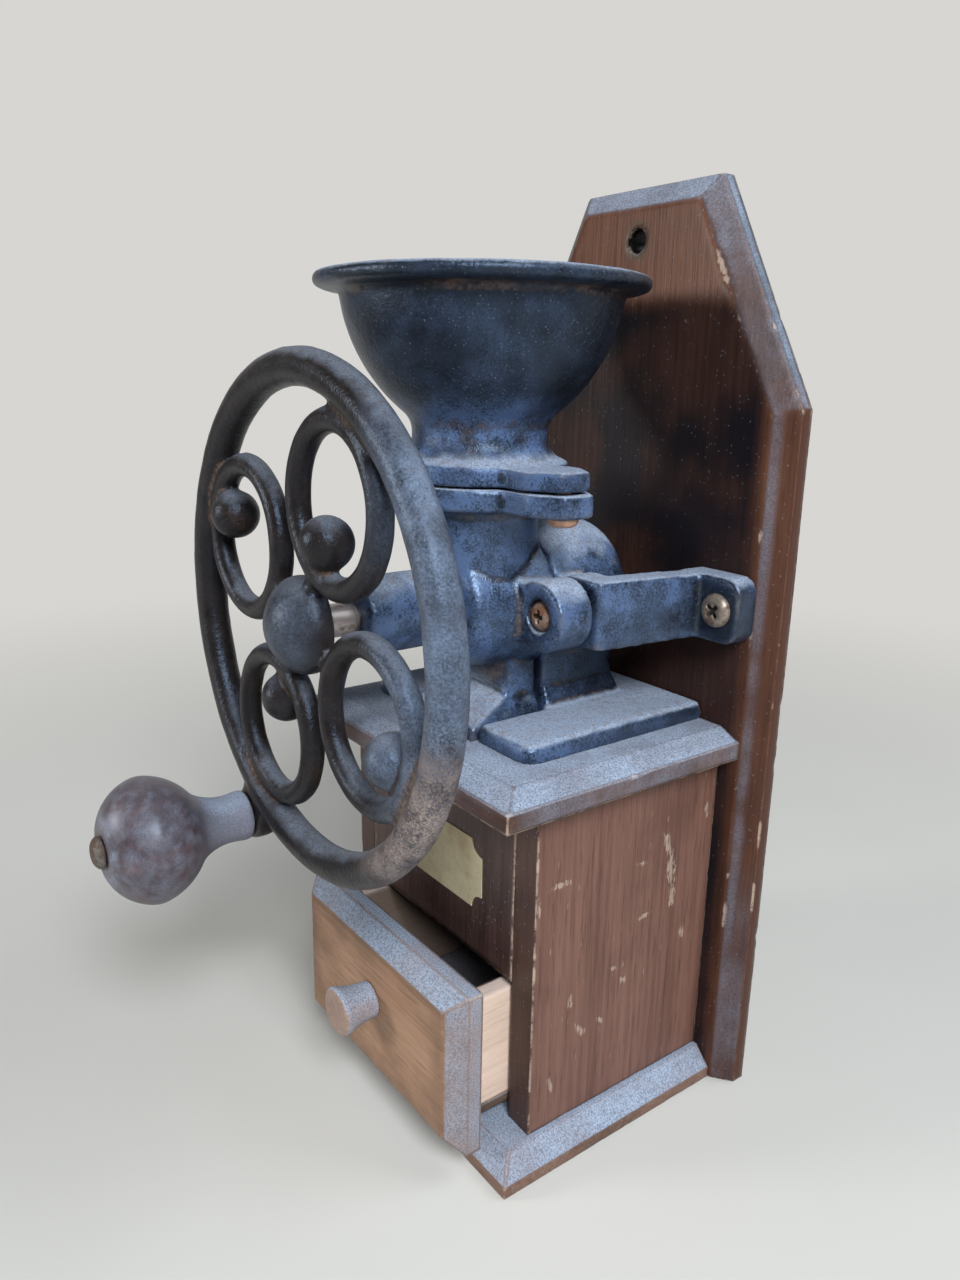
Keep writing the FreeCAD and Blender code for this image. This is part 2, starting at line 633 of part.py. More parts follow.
RUNNER_ENDS = (BOX_FRONT + " + runner_setback", BOARD_FACE)
RUNNER_LEVELS = ("base_height", "base_height + runner_height")
node("drawer_runners", group("runner_group", [
    block("left_runner", ("-" + INNER_HALF, "runner_width - " + INNER_HALF), RUNNER_ENDS, RUNNER_LEVELS),
    block("right_runner", (INNER_HALF + " - runner_width", INNER_HALF), RUNNER_ENDS, RUNNER_LEVELS)]))


def paper_label():
    """A plain label with scooped corners, stuck on the front panel."""
    half = "(label_width / 2)"
    tall = "(label_height / 2)"
    scoop = "label_scoop"
    deep = "label_scoop * 0.707"
    corners = []
    for x_sign, z_sign, along in (("", "-", False), ("", "", True), ("-", "", False), ("-", "-", True)):
        side = (x_sign + half, "%s(%s - %s)" % (z_sign, tall, scoop))
        end = ("%s(%s - %s)" % (x_sign, half, scoop), z_sign + tall)
        via = ("%s(%s - %s)" % (x_sign, half, deep), "%s(%s - %s)" % (z_sign, tall, deep))
        first, last = (side, end) if along else (end, side)
        corners += [first, last + via]
    body = padded("label", "XZ_Plane", corners, "label_thick")
    return place(body, "0", BOX_FRONT, BOX_TOP + " - label_drop")


node("paper_label", paper_label())


# Drawer

def drawer_front():
    half = "(drawer_front_width / 2)"
    low = "(base_height + drawer_front_gap)"
    slab = block("drawer_slab", ("-" + half, half), (DRAWER_BACK + " - drawer_front_edge", DRAWER_BACK),
                 (low, low + " + drawer_front_height"))
    inner = "drawer_front_width / 2 - drawer_front_bevel"
    field = frustum("drawer_field", ("-" + half, half, "0", "drawer_front_height"),
                    ("-(%s)" % inner, inner, "drawer_front_bevel",
                     "drawer_front_height - drawer_front_bevel"),
                    "drawer_front_bevel", ("0", DRAWER_BACK + " - drawer_front_edge", low),
                    Vector(0, 0, 1), 180)
    hole = rod("drawer_screw_hole", "wood_screw_radius + screw_gap",
               "drawer_front_edge + drawer_front_bevel + 2", "0", DRAWER_FACE + " - 1", DRAWER_KNOB_Z,
               BACKWARD)
    return cut("drawer_front_cut", fuse("drawer_front_solid", [slab, field]), [hole])


node("drawer_front", drawer_front())

DRAWER_ENDS = (DRAWER_BACK, DRAWER_BACK + " + drawer_length")
DRAWER_LEVELS = (DRAWER_FLOOR + " + drawer_bottom_thick",
                 DRAWER_FLOOR + " + drawer_bottom_thick + drawer_side_height")
DRAWER_INNER = "(%s - drawer_side_thick)" % DRAWER_HALF
node("drawer_left_side", block("drawer_left", ("-" + DRAWER_HALF, "-" + DRAWER_INNER), DRAWER_ENDS,
                               DRAWER_LEVELS))
node("drawer_right_side", block("drawer_right", (DRAWER_INNER, DRAWER_HALF), DRAWER_ENDS, DRAWER_LEVELS))
node("drawer_back", block("drawer_rear", ("-" + DRAWER_INNER, DRAWER_INNER),
                          (DRAWER_ENDS[1] + " - drawer_side_thick", DRAWER_ENDS[1]), DRAWER_LEVELS))
node("drawer_bottom", block("drawer_sheet", ("-" + DRAWER_HALF, DRAWER_HALF), DRAWER_ENDS,
                            (DRAWER_FLOOR, DRAWER_FLOOR + " + drawer_bottom_thick")))


def drawer_knob():
    """A turned knob that widens toward its face."""
    seat = "box_depth + drawer_open + drawer_front_edge + drawer_front_bevel"
    face = seat + " + drawer_knob_length"
    path = [
        ("0", seat),
        ("drawer_knob_base / 2", seat),
        ("drawer_knob_face / 2", face + " - 1.4",
         "drawer_knob_base / 2 + 0.5", seat + " + drawer_knob_length / 2"),
        ("drawer_knob_face / 2 - 1", face, "drawer_knob_face / 2 - 0.25", face + " - 0.35"),
        ("0", face),
    ]
    blank = turned("drawer_knob_blank", path, "0", DRAWER_KNOB_Z)
    hole = rod("drawer_knob_hole", "wood_screw_radius + fixed_gap", "drawer_screw_depth + 0.5", "0",
               DRAWER_FACE + " - drawer_screw_depth - 0.5", DRAWER_KNOB_Z, BACKWARD)
    return cut("drawer_knob_cut", blank, [hole])


FORWARD = (Vector(1, 0, 0), 90)
node("drawer_knob", drawer_knob())
node("drawer_knob_screw", pan_screw("drawer_screw", "screw_head_radius", "wood_screw_radius",
                                    "drawer_front_edge + drawer_front_bevel + drawer_screw_depth",
                                    "0", DRAWER_BACK, DRAWER_KNOB_Z, FORWARD))


# Hopper

def flange_prism(name, bottom, thick, extra):
    """Flange with an ear on each side for the hopper screws."""
    tip = "(flange_ear_reach + %s)" % extra
    shoulder = "(flange_ear_shoulder + %s)" % extra
    corners = [(tip, "-flange_ear_tip / 2"), (tip, "flange_ear_tip / 2"), (shoulder, "flange_ear_root / 2")]
    corners += [("-" + x, y) for x, y in reversed(corners)]
    corners += [("-" + shoulder, "-flange_ear_root / 2"), (shoulder, "-flange_ear_root / 2")]
    return place(padded(name, "XY_Plane", corners, thick), "0", HOPPER_Y, bottom)


def flange_holes(name, radius, bottom, length):
    return [rod("%s_%s" % (name, side), radius, length, sign + "flange_screw_reach", HOPPER_Y, bottom)
            for side, sign in SIDES]


def hopper():
    flange_top = "hopper_land + hopper_flange_thick"
    bowl = "hopper_bowl_height"
    rim_top = "hopper_bowl_height + hopper_rim_height"
    inner = "hopper_bowl_radius - hopper_wall"
    path = [
        ("throat_bore", "0"),
        ("hopper_land_radius", "0"),
        ("hopper_land_radius", "hopper_land"),
        ("flange_radius", "hopper_land"),
        ("flange_radius", flange_top),
        ("hopper_neck_radius + 3", flange_top + " + 1"),
        ("hopper_neck_radius", "hopper_neck_height", "hopper_neck_radius + 0.8", flange_top + " + 3.4"),
        ("hopper_neck_radius + 2", "hopper_neck_height + 4.6",
         "hopper_neck_radius + 0.5", "hopper_neck_height + 2.6"),
        ("hopper_bowl_radius", bowl, "hopper_belly_radius", "hopper_belly_height"),
        ("hopper_rim_radius - 1.6", bowl + " + 0.6"),
        ("hopper_rim_radius - 1.6", rim_top, "hopper_rim_radius", bowl + " + 0.3 + hopper_rim_height / 2"),
        (inner + " + 1.4", rim_top),
        (inner, bowl, inner + " + 0.4", rim_top + " - hopper_rim_height / 2"),
        ("hopper_neck_radius - 1", "hopper_neck_height + 6.5",
         "hopper_belly_radius - hopper_wall + 0.2", "hopper_belly_height + 1"),
        ("throat_bore", "hopper_neck_height"),
    ]
    bowl_solid = turned_upright("hopper_bowl", path, "0", HOPPER_Y, HOPPER_FOOT)
    ears = flange_prism("hopper_ears", HOPPER_FOOT + " + hopper_land", "hopper_flange_thick", "0")
    passage = rod("hopper_passage", "throat_bore", "hopper_neck_height", "0", HOPPER_Y, HOPPER_FOOT)
    holes = flange_holes("hopper_tap", "screw_radius + fixed_gap", HOPPER_FOOT,
                         "hopper_land + hopper_flange_thick - 1")
    return cut("hopper_cut", fuse("hopper_solid", [bowl_solid, ears]), [passage] + holes)


node("hopper", hopper())
node("hopper_screws", group("hopper_screw_group", [
    pan_screw("hopper_screw_" + side, "screw_head_radius", "screw_radius",
              "flange_thick + hopper_land + hopper_flange_thick - 1.5", sign + "flange_screw_reach",
              HOPPER_Y, "flange_bottom", UPRIGHT)
    for side, sign in SIDES]))


# Mill housings

def ears_of(name, front, back):
    """Two round-ended ears beside the barrel, between two distances before the board."""
    ends = (setback(front), setback(back))
    length = "(%s) - (%s)" % (front, back)
    web = block(name + "_web", ("-ear_reach", "ear_reach"), ends,
                ("shaft_height - ear_web", "shaft_height + ear_web"))
    rounds = [rod("%s_%s" % (name, side), "ear_radius", length, sign + "ear_reach", ends[0], "shaft_height",
                  BACKWARD) for side, sign in SIDES]
    return [web] + rounds


def front_housing():
    barrel = turned("front_barrel", [
        ("0", "boss_setback"),
        ("boss_radius - 1", "boss_setback"),
        ("boss_radius", "boss_setback - 1"),
        ("boss_radius", "barrel_front_setback + boss_flare"),
        ("boss_radius + boss_flare", "barrel_front_setback", "boss_radius + boss_flare * 0.293",
         "barrel_front_setback + boss_flare * 0.293"),
        ("barrel_front_radius - barrel_front_round", "barrel_front_setback"),
        ("barrel_front_radius", "barrel_front_setback - barrel_front_round",
         "barrel_front_radius - barrel_front_round * 0.293",
         "barrel_front_setback - barrel_front_round * 0.293"),
        ("barrel_rear_radius", "split_setback + 4"),
        ("barrel_rear_radius", "split_setback"),
        ("0", "split_setback"),
    ])
    throat = turned_upright("throat", [
        ("0", "shaft_height"),
        ("throat_radius", "shaft_height"),
        ("throat_radius", "flange_bottom - throat_flare"),
        ("throat_radius + throat_flare", "flange_bottom", "throat_radius + throat_flare * 0.293",
         "flange_bottom - throat_flare * 0.293"),
        ("flange_radius", "flange_bottom"),
        ("flange_radius", HOPPER_FOOT),
        ("0", HOPPER_FOOT),
    ], "0", HOPPER_Y)
    ears = flange_prism("housing_flange_ears", "flange_bottom", "flange_thick", "flange_ear_extra")
    rear = "-(split_setback + 0.2)"
    toe_top = TABLE_TOP + " + foot_toe_thick"
    curve_top = toe_top + " + foot_flare_height"
    foot = padded("front_foot", "YZ_Plane", [
        (rear, TABLE_TOP),
        ("-foot_toe_setback", TABLE_TOP),
        ("-foot_toe_setback", toe_top),
        ("-foot_front_setback", curve_top,
         "-foot_front_setback - (foot_toe_setback - foot_front_setback) * 0.22",
         toe_top + " + foot_flare_height * 0.22"),
        ("-foot_front_setback", "shaft_height"),
        (rear, "shaft_height"),
    ], "foot_width", middle=True)
    place(foot, "0", BOARD_FACE, "0")
    toe_half = "foot_toe_width / 2"
    toe = block("front_toe", ("-" + toe_half, toe_half),
                (setback("foot_toe_setback"), setback("split_setback + 0.2")), (TABLE_TOP, toe_top))
    slopes = frustum("front_toe_slope",
                     ("-" + toe_half, toe_half, "split_setback + 0.2", "foot_toe_setback"),
                     ("-foot_width / 2", "foot_width / 2", "split_setback + 0.2", "foot_front_setback + 2"),
                     "foot_side_flare_height", ("0", BOARD_FACE, toe_top), Vector(1, 0, 0), 90)
    solid = fuse("front_solid", [barrel, throat, ears, foot, toe, slopes]
                 + ears_of("front_ear", "split_setback + ear_thick", "split_setback + 0.2"))
    feed_front = "barrel_front_setback - feed_wall"
    tools = [
        rod("feed_chamber", "feed_radius", "%s - split_setback + 1" % feed_front, "0", setback(feed_front),
            "shaft_height", BACKWARD),
        rod("front_bearing", "shaft_diameter / 2 + shaft_running_gap",
            "boss_setback - barrel_front_setback + 10", "0", setback("boss_setback + 1"), "shaft_height",
            BACKWARD),
        rod("bean_passage", "throat_bore", HOPPER_FOOT + " - shaft_height + 1", "0", HOPPER_Y,
            "shaft_height"),
        block("rear_clearance", ("-flange_radius", "flange_radius"),
              (setback("split_setback"), setback("split_setback - flange_radius")),
              ("shaft_height - ear_web", "shaft_height + barrel_rear_radius + split_relief")),
    ]
    tools += flange_holes("flange_clearance", "screw_radius + screw_gap", "flange_bottom - 1",
                          "flange_thick + 2")
    ear_front = setback("split_setback + ear_thick + 1")
    for side, sign in SIDES:
        tools.append(rod("front_ear_hole_" + side, "screw_radius + screw_gap", "ear_thick + 2",
                         sign + "ear_reach", ear_front, "shaft_height", BACKWARD))
        tools.append(rod("front_ear_recess_" + side, "ear_recess_radius", "ear_recess_depth + 1",
                         sign + "ear_reach", ear_front, "shaft_height", BACKWARD))
    return cut("front_housing_cut", solid, tools)


node("front_housing", front_housing())


def base_plate():
    """Plate with a notch at its front, where the front foot stands."""
    half = "plate_width / 2"
    notch = "(foot_toe_width / 2 + foot_gap)"
    front = setback("plate_front_setback")
    notch_back = setback("split_setback + 0.2 - foot_gap")
    body = padded("plate", "XY_Plane", [
        (notch, notch_back), (notch, front), (half, front), (half, setback("plate_back_gap")),
        ("-" + half, setback("plate_back_gap")), ("-" + half, front), ("-" + notch, front),
        ("-" + notch, notch_back),
    ], "plate_thick")
    place(body, "0", "0", TABLE_TOP)
    edge = number("plate_width / 2")
    nose = number(front)
    tail = number(setback("plate_back_gap"))
    thick = number("plate_thick")

    def is_corner(spot):
        return abs(abs(spot.x) - edge) < 0.01 and abs(spot.y - nose) < 0.01

    def is_upper_edge(spot):
        on_rim = abs(spot.x) > edge - number("plate_corner_round") or abs(spot.y - nose) < 0.01
        return abs(spot.z - thick) < 0.01 and on_rim and spot.y < tail - 0.01

    rounded(body, "plate_corners", "plate_corner_round", is_corner)
    return rounded(body, "plate_upper_edge", "plate_edge_round", is_upper_edge)


def bracket_pad(side, sign):
    inner = "(pad_outer - pad_width)"
    low = "-pad_half_height"
    bend = "pad_corner"
    near = "pad_corner * 0.293"
    right = [
        (inner, low),
        ("pad_outer - " + bend, low),
        ("pad_outer", "%s + %s" % (low, bend), "pad_outer - " + near, "%s + %s" % (low, near)),
        ("pad_outer", "pad_half_height - " + bend),
        ("pad_outer - " + bend, "pad_half_height", "pad_outer - " + near, "pad_half_height - " + near),
        (inner, "pad_half_height"),
    ]
    path = [tuple("%s(%s)" % (sign, text) if at % 2 == 0 else text for at, text in enumerate(point))
            for point in right]
    body = padded("pad_" + side, "XZ_Plane", path, "pad_thick")
    return place(body, "0", BOARD_FACE, "shaft_height")


def bracket_arm(side, sign):
    """Arm from a rear ear back and outward to its pad."""
    ends = [sign + "(%s - arm_thick)" % ARM_OUTER, sign + ARM_OUTER]
    far = [sign + "(%s - arm_thick + arm_spread)" % ARM_OUTER, sign + "(%s + arm_spread)" % ARM_OUTER]
    if sign:
        ends.reverse()
        far.reverse()
    return frustum("arm_" + side, (ends[0], ends[1], "-arm_half_height", "arm_half_height"),
                   (far[0], far[1], "-arm_end_half_height", "arm_end_half_height"),
                   REAR_FRONT + " - pad_thick / 2", ("0", setback(REAR_FRONT), "shaft_height"),
                   Vector(0, 0, 1), 0)


def rear_housing():
    barrel = turned("rear_barrel", [
        ("0", "split_setback"),
        ("barrel_rear_radius - rear_edge_round", "split_setback"),
        ("barrel_rear_radius", "split_setback - rear_edge_round",
         "barrel_rear_radius - rear_edge_round * 0.293", "split_setback - rear_edge_round * 0.293"),
        ("barrel_rear_radius", "rear_end_gap + rear_round"),
        ("barrel_rear_radius - rear_round", "rear_end_gap", "barrel_rear_radius - rear_round * 0.293",
         "rear_end_gap + rear_round * 0.293"),
        ("0", "rear_end_gap"),
    ])
    leg_half = "leg_width / 2"
    leg = block("leg", ("-" + leg_half, leg_half), (setback(REAR_FRONT), setback("leg_back_setback")),
                (TABLE_TOP + " + plate_thick / 2", "shaft_height"))
    root = frustum("leg_root", ("-(leg_width / 2 + leg_flare)", "leg_width / 2 + leg_flare",
                                "leg_back_setback - leg_flare", REAR_FRONT),
                   ("-" + leg_half, leg_half, "leg_back_setback", REAR_FRONT), "leg_flare_height",
                   ("0", BOARD_FACE, PLATE_TOP), Vector(1, 0, 0), 90)
    solid = fuse("rear_solid", [barrel, leg, root, base_plate()]
                 + ears_of("rear_ear", REAR_FRONT, REAR_FRONT + " - rear_ear_thick")
                 + [bracket_arm(side, sign) for side, sign in SIDES]
                 + [bracket_pad(side, sign) for side, sign in SIDES])
    tools = [
        rod("burr_seat", "burr_bore_radius", "burr_bore_depth + 1", "0", setback("split_setback + 1"),
            "shaft_height", BACKWARD),
        rod("rear_bearing", "shaft_diameter / 2 + shaft_running_gap",
            "split_setback - rear_end_gap - bearing_wall", "0", setback("split_setback"), "shaft_height",
            BACKWARD),
        chute_block("leg_chute", TABLE_TOP + " - 1", "shaft_height - burr_bore_radius / 2"),
    ]
    for side, sign in SIDES:
        tools.append(rod("rear_ear_tap_" + side, "screw_radius + fixed_gap", "rear_ear_thick + split_relief",
                         sign + "ear_reach", setback("split_setback"), "shaft_height", BACKWARD))
        tools.append(rod("pad_hole_" + side, "wood_screw_radius + screw_gap", "pad_thick + 2",
                         sign + "pad_screw_reach", setback("pad_thick + 1"), "shaft_height", BACKWARD))
    for index, (sign, reach) in enumerate(PLATE_SCREWS):
        tools.append(rod("plate_tap_%d" % index, "wood_screw_radius + fixed_gap", "plate_screw_depth + 0.3",
                         sign + "plate_screw_reach", setback(reach), TABLE_TOP))
    return cut("rear_housing_cut", solid, tools)


node("rear_housing", rear_housing())
node("housing_screws", group("housing_screw_group", [
    pan_screw("housing_screw_" + side, "screw_head_radius", "screw_radius",
              "ear_thick - ear_recess_depth + rear_ear_thick", sign + "ear_reach",
              setback("split_setback + ear_thick - ear_recess_depth"), "shaft_height", BACKWARD)
    for side, sign in SIDES]))
node("bracket_screws", group("bracket_screw_group", [
    pan_screw("bracket_screw_" + side, "pad_screw_head_radius", "wood_screw_radius",
              "pad_thick + pad_screw_depth", sign + "pad_screw_reach", setback("pad_thick"), "shaft_height",
              turned_way(BACKWARD))
    for side, sign in SIDES]))
node("plate_screws", group("plate_screw_group", [
    pan_screw("plate_screw_%d" % index, "screw_head_radius", "wood_screw_radius",
              "top_band + top_rise + plate_screw_depth", sign + "plate_screw_reach", setback(reach), BOX_TOP,
              UPRIGHT)
    for index, (sign, reach) in enumerate(PLATE_SCREWS)]))


# Shaft and burrs

def ring_path(inner, outer, front, back):
    return [(inner, front), (outer, front), (outer, back), (inner, back)]


ON_SHAFT = "shaft_diameter / 2 + fixed_gap"


def crank_shaft():
    shaft = turned("shaft", [
        ("0", "shaft_front_setback"), ("shaft_diameter / 2", "shaft_front_setback"),
        ("shaft_diameter / 2", "shaft_back_setback"), ("0", "shaft_back_setback")])
    return cut("shaft_cut", shaft, [pin_rod("shaft_pin_hole", "fixed_gap", "1")])


def pin_rod(name, gap, spare):
    """The burr's cross pin, or its hole."""
    return rod(name, "burr_pin_radius + " + gap, "burr_pin_length + 2 * " + spare,
               "-burr_pin_length / 2 - " + spare, setback("burr_pin_setback"), "shaft_height", SIDEWAYS)


def cone_burr():
    """Feed cone and grinding cone in one piece, fluted along its length."""
    wide = "ring_burr_inner - burr_gap"
    ring_back = "(split_setback - ring_burr_length)"
    body = turned("cone_blank", [
        (ON_SHAFT, "burr_front_setback"),
        ("burr_front_radius", "burr_front_setback"),
        ("burr_front_radius + 2", "split_setback"),
        (wide, ring_back + " + 2"),
        (wide, ring_back),
        ("burr_front_radius", "burr_back_setback"),
        (ON_SHAFT, "burr_back_setback"),
    ])
    flutes(body, "cone_flute", "burr_flute_radius", wide, 9)
    return cut("cone_burr_cut", body, [pin_rod("burr_pin_hole", "fixed_gap", "1")])


def ring_burr():
    front = "split_setback"
    body = turned("ring_burr_blank", ring_path("ring_burr_inner", "burr_bore_radius - burr_seat_gap", front,
                                               front + " - ring_burr_length"))
    return flutes(body, "ring_flute", "ring_flute_radius", "ring_burr_inner", 18)


node("crank_shaft", crank_shaft())
node("cone_burr", cone_burr())
node("ring_burr", ring_burr())
node("burr_pin", pin_rod("burr_pin", "0", "0"))
node("thrust_washer", turned("washer", ring_path(ON_SHAFT, "washer_radius", "burr_back_setback - 0.3",
                                                 "burr_back_setback - 0.3 - washer_thick")))
node("shaft_collar", turned("collar", [
    (ON_SHAFT, "hub_back_setback"),
    ("collar_radius", "hub_back_setback"),
    ("collar_radius", "boss_setback + collar_gap + collar_round"),
    ("collar_radius - collar_round", "boss_setback + collar_gap", "collar_radius - collar_round * 0.293",
     "boss_setback + collar_gap + collar_round * 0.293"),
    (ON_SHAFT, "boss_setback + collar_gap"),
]))


# Hand wheel and knob

RING_WAY = turned_way(BACKWARD)
HUB_WAY = (Vector(0, 1, 0), 45)


def spoke_loops():
    """Four ring spokes, each with a ball inside, on the hub side and on the rim side by turns."""
    pieces = []
    inset = "(loop_radius - loop_thick / 2 - ball_radius + ball_bite)"
    for turn, (x_sign, z_sign) in enumerate((("", "0 * "), ("0 * ", ""), ("-", "0 * "), ("0 * ", "-"))):
        ring = bind(doc.addObject("Part::Torus", "loop_%d" % turn),
                    Radius1="loop_radius", Radius2="loop_thick / 2")
        pieces.append(place(ring, x_sign + "loop_distance", "0", z_sign + "loop_distance", *RING_WAY))
        side = "-" if turn % 2 == 0 else "+"
        reach = "(loop_distance %s %s)" % (side, inset)
        ball = bind(doc.addObject("Part::Sphere", "loop_ball_%d" % turn), Radius="ball_radius")
        pieces.append(place(ball, x_sign + reach, "0", z_sign + reach, *RING_WAY))
    return pieces


def spoke_roots():
    """Short bars that fill the joints of the loops with hub and rim."""
    bars = (("inner", "(hub_radius - root_thick)", "(loop_distance - loop_radius)"),
            ("outer", "(loop_distance + loop_radius)", "rim_radius"))
    pieces = []
    for name, begin, end in bars:
        length = "%s - %s" % (end, begin)
        for side, start in (("plus", begin), ("minus", "-" + end)):
            label = "%s_%s" % (name, side)
            pieces.append(rod("root_x_" + label, "root_thick / 2", length, start, "0", "0", SIDEWAYS))
            pieces.append(rod("root_z_" + label, "root_thick / 2", length, "0", "0", start))
    return pieces


def hand_wheel():
    rim = place(bind(doc.addObject("Part::Torus", "rim"), Radius1="rim_radius", Radius2="rim_thick / 2"),
                "0", "0", "0", *RING_WAY)
    hub = turned("hub", [
        ("0", "hub_edge_setback + hub_rise"),
        ("hub_radius * 0.1", "hub_edge_setback + hub_rise"),
        ("hub_radius", "hub_edge_setback", "hub_radius * 0.55", "hub_edge_setback + hub_rise * 0.775"),
        ("hub_radius", "hub_back_setback"),
        ("0", "hub_back_setback")])
    place(hub, "0", "wheel_setback", "0", *HUB_WAY)
    half = "(lug_thick / 2)"
    lug = rod("lug", "lug_radius", "lug_thick", "-crank_radius", "-" + half, "0", RING_WAY)
    web = block("lug_web", ("-crank_radius", "-rim_radius"), ("-" + half, half),
                ("-lug_web / 2", "lug_web / 2"))
    solid = fuse("wheel_solid", [rim, hub, lug, web] + spoke_loops() + spoke_roots())
    shaft_bore = rod("hub_bore", ON_SHAFT, "shaft_front_setback - hub_back_setback + 2", "0",
                     "wheel_setback - shaft_front_setback - 0.5", "0", BACKWARD)
    bolt_bore = rod("lug_bore", "knob_bolt_radius + fixed_gap", "lug_thick + 2", "-crank_radius",
                    "-%s - 1" % half, "0", BACKWARD)
    wheel = cut("hand_wheel_cut", solid, [shaft_bore, bolt_bore])
    place(wheel, "0", setback("wheel_setback"), "shaft_height", Vector(0, -1, 0), number("wheel_angle"))
    wheel.setExpression("Placement.Rotation.Angle", formula("wheel_angle"))
    return wheel


node("hand_wheel", hand_wheel())


def along_knob(distance):
    return "%s + %s" % (KNOB_BACK, distance)


KNOB_BORE = "knob_bolt_radius + knob_running_gap"
HEAD_SEAT = "(%s + knob_length + knob_end_gap)" % KNOB_BACK
node("crank_knob", turned("knob", [
    (KNOB_BORE, along_knob("0")),
    ("knob_end_radius - 0.5", along_knob("0")),
    ("knob_end_radius", along_knob("0.5")),
    ("knob_end_radius", along_knob("knob_end_length")),
    ("knob_radius * 0.56", along_knob("knob_ball_distance * 0.55"),
     "knob_neck_radius", along_knob("knob_neck_distance")),
    ("knob_radius", along_knob("knob_ball_distance"),
     "knob_radius * 0.89", along_knob("knob_ball_distance * 0.775")),
    ("knob_face_radius", along_knob("knob_length"),
     "knob_radius * 0.835", along_knob("knob_ball_distance * 0.42 + knob_length * 0.58")),
    (KNOB_BORE, along_knob("knob_length")),
], KNOB_X, KNOB_Z))
node("knob_bolt", turned("knob_bolt_turned", [
    ("0", HEAD_SEAT + " + knob_bolt_head_height"),
    ("knob_bolt_head_radius * 0.3", HEAD_SEAT + " + knob_bolt_head_height"),
    ("knob_bolt_head_radius", HEAD_SEAT + " + 0.8",
     "knob_bolt_head_radius * 0.75", HEAD_SEAT + " + knob_bolt_head_height * 0.78"),
    ("knob_bolt_head_radius", HEAD_SEAT),
    ("knob_bolt_radius", HEAD_SEAT),
    ("knob_bolt_radius", LUG_BACK + " - knob_nut_thick - knob_bolt_end"),
    ("0", LUG_BACK + " - knob_nut_thick - knob_bolt_end"),
], KNOB_X, KNOB_Z))


def knob_nut():
    prism = bind(doc.addObject("Part::Prism", "nut_prism"),
                 Circumradius="knob_nut_radius", Height="knob_nut_thick")
    prism.Polygon = 6
    place(prism, KNOB_X, setback(LUG_BACK), KNOB_Z, *BACKWARD)
    bore = rod("nut_bore", "knob_bolt_radius + fixed_gap", "knob_nut_thick + 2", KNOB_X,
               setback(LUG_BACK + " + 1"), KNOB_Z, BACKWARD)
    return cut("nut_cut", prism, [bore])


node("knob_nut", knob_nut())

doc.recompute()
for thing in doc.Objects:
    faults = [word for word in thing.State if word in ("Invalid", "Error")]
    assert not faults, "%s is %s" % (thing.Name, faults)
for thing in NODES:
    shape = thing.Shape
    assert not shape.isNull(), thing.Label + " is empty"
    assert shape.isValid(), thing.Label + " is not valid"
    assert shape.Solids, thing.Label + " has no solid"

os.makedirs("parts", exist_ok=True)
for thing in NODES:
    thing.Shape.exportStep("parts/%s.step" % thing.Label)
    print("%-20s solids %d volume %.0f" % (thing.Label, len(thing.Shape.Solids), thing.Shape.Volume))
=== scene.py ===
import json
import math

import bmesh
import bpy
import numpy as np
from mathutils import Matrix, Vector


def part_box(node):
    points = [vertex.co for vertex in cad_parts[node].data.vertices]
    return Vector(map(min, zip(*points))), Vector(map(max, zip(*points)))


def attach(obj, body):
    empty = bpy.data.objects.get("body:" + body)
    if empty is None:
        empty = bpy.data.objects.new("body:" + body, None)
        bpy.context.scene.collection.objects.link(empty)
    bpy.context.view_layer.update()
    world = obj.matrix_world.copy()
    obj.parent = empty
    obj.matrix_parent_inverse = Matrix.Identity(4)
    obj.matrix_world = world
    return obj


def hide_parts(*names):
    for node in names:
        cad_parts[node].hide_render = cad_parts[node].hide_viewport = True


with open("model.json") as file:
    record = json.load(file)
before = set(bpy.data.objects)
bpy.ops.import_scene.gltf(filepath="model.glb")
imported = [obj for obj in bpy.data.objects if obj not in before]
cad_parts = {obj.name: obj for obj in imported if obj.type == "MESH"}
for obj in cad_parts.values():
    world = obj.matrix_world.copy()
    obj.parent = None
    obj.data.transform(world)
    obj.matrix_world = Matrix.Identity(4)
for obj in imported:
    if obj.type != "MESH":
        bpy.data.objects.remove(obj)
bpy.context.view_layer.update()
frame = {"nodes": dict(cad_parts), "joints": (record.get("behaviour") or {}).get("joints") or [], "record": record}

MM = 0.001
NODES = frame["nodes"]
RECORD = frame["record"]
BODY_OF = {n: body for body, names in RECORD["behaviour"]["bodies"].items() for n in names}


# Places on the part, in millimetres

def span(node, axis):
    """Where a CAD node begins and ends along an axis, in millimetres."""
    which = "xyz".index(axis)
    low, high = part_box(node)
    return low[which] / MM, high[which] / MM


def named(rows, name):
    """The row of the record that has this name."""
    return next(row for row in rows if row["name"] == name)


HOLE = named(RECORD["mounts"], "hanging_hole")
HOLE_X, _, HOLE_HEIGHT = (place / MM for place in HOLE["pos_m"])
HOLE_RADIUS = HOLE["dims"]["r_mm"]
_, WHEEL_Y, SHAFT_HEIGHT = (place / MM for place in named(frame["joints"], "crank_turn")["pos_m"])
BOARD_FRONT, BOARD_BACK = span("back_board", "y")
BOARD_CHAMFER = 5.0
SIDE_FRONT = BOARD_FRONT + BOARD_CHAMFER
PANEL_FRONT = span("right_side_panel", "y")[0]
DRAWER_FACE = span("drawer_front", "y")[0]
DRAWER_LEFT, DRAWER_RIGHT = span("drawer_front", "x")
DRAWER_LOW, DRAWER_HIGH = span("drawer_front", "z")
DRAWER_BEVEL = 5.0
DRAWER_KNOB_FACE = span("drawer_knob", "y")[0]
CRANK_KNOB_FACE = span("crank_knob", "y")[0]

